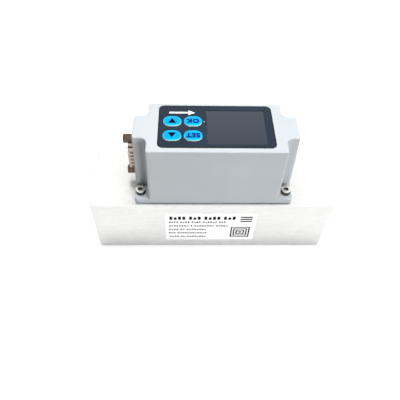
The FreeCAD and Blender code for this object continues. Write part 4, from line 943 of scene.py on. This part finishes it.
def floor_paint():
    """Pale paint that keeps the shadow; the camera sees it turn white further out."""
    paint = bpy.data.materials.new("studio_floor_paint")
    paint.use_nodes = True
    nodes, links = paint.node_tree.nodes, paint.node_tree.links
    nodes.clear()
    output = nodes.new("ShaderNodeOutputMaterial")
    diffuse = nodes.new("ShaderNodeBsdfDiffuse")
    grey = 0.56
    diffuse.inputs["Color"].default_value = (grey, grey, grey, 1)
    place = nodes.new("ShaderNodeTexCoord")
    reach = nodes.new("ShaderNodeVectorMath")
    reach.operation = "LENGTH"
    links.new(place.outputs["Object"], reach.inputs[0])
    near, far, glow_near, glow_far = 0.2, 0.9, 0.45, 1.0
    fade = nodes.new("ShaderNodeMapRange")
    ends = {"From Min": near, "From Max": far, "To Min": glow_near, "To Max": glow_far}
    for name, value in ends.items():
        fade.inputs[name].default_value = value
    links.new(reach.outputs["Value"], fade.inputs["Value"])
    path = nodes.new("ShaderNodeLightPath")
    seen = nodes.new("ShaderNodeMath")
    seen.operation = "MULTIPLY"
    links.new(path.outputs["Is Camera Ray"], seen.inputs[0])
    links.new(fade.outputs["Result"], seen.inputs[1])
    glow = nodes.new("ShaderNodeEmission")
    links.new(seen.outputs[0], glow.inputs["Strength"])
    both = nodes.new("ShaderNodeAddShader")
    links.new(diffuse.outputs[0], both.inputs[0])
    links.new(glow.outputs[0], both.inputs[1])
    links.new(both.outputs[0], output.inputs["Surface"])
    return paint


def studio_air():
    """A world that is white to the camera and reflections and adds little light of its own."""
    world = bpy.data.worlds.new("studio_air")
    world.use_nodes = True
    nodes, links = world.node_tree.nodes, world.node_tree.links
    nodes.clear()
    output = nodes.new("ShaderNodeOutputWorld")
    path = nodes.new("ShaderNodeLightPath")
    shown = nodes.new("ShaderNodeMath")
    shown.operation = "MAXIMUM"
    links.new(path.outputs["Is Camera Ray"], shown.inputs[0])
    links.new(path.outputs["Is Glossy Ray"], shown.inputs[1])
    pick = nodes.new("ShaderNodeMixShader")
    links.new(shown.outputs[0], pick.inputs["Fac"])
    dim, bright = ((0.93, 0.96, 1.0, 1), 0.03), ((1, 1, 1, 1), 1.0)
    for side, (shade, strength) in ((1, dim), (2, bright)):
        air = nodes.new("ShaderNodeBackground")
        air.inputs["Color"].default_value = shade
        air.inputs["Strength"].default_value = strength
        links.new(air.outputs[0], pick.inputs[side])
    links.new(pick.outputs[0], output.inputs["Surface"])
    return world


def studio():
    """A pale floor, a white surround and four soft lamps."""
    floor = start(bpy.ops.mesh.primitive_plane_add, size=6.0, location=(0, 0, -0.05 * MM))
    floor.name = floor.data.name = "studio_floor"
    floor.data.materials.append(floor_paint())
    bpy.context.scene.world = studio_air()
    soft_lamp("top_softbox", (0.04, 0.1, 0.94), (0, 0, 0.05), (0.7, 0.36), 15.0)
    soft_lamp("front_softbox", (0.52, -0.82, 0.35), (0, 0, 0.04), (0.45, 0.45), 8.4)
    soft_lamp("rear_softbox", (0.1, 1.0, 0.28), (0, 0, 0.04), (0.8, 0.4), 3.0)
    soft_lamp("left_softbox", (-1.0, 0.3, 0.28), (0, 0, 0.04), (0.5, 0.4), 2.0)


def photo_camera():
    """The camera of the photograph, worked out from the edges of the bar and housing."""
    place = Vector((-15.84 * MM, -168.91 * MM, 243.03 * MM))
    pitch, yaw, roll = math.radians(52.72), math.radians(3.01), math.radians(2.5)
    ahead = Vector((
        math.sin(yaw) * math.cos(pitch), math.cos(yaw) * math.cos(pitch), -math.sin(pitch)
    ))
    level = Vector((math.cos(yaw), -math.sin(yaw), 0))
    down = ahead.cross(level)
    right = math.cos(roll) * level - math.sin(roll) * down
    below = math.sin(roll) * level + math.cos(roll) * down
    data = bpy.data.cameras.new("camera")
    data.lens, data.sensor_width = 38.27, 36.0
    data.clip_start, data.clip_end = 0.01, 20.0
    camera = bpy.data.objects.new("camera", data)
    bpy.context.scene.collection.objects.link(camera)
    turned = Matrix((right, -below, -ahead)).transposed().to_4x4()
    camera.matrix_world = Matrix.Translation(place) @ turned
    bpy.context.scene.camera = camera


bpy.context.scene.view_settings.view_transform = "Standard"
dress_cad_nodes()
studio()
photo_camera()
housing_screws()
keys()
port_threads()
jack_posts()
pin_tips()
shell_dimples()
label_marks()
panel_mark()
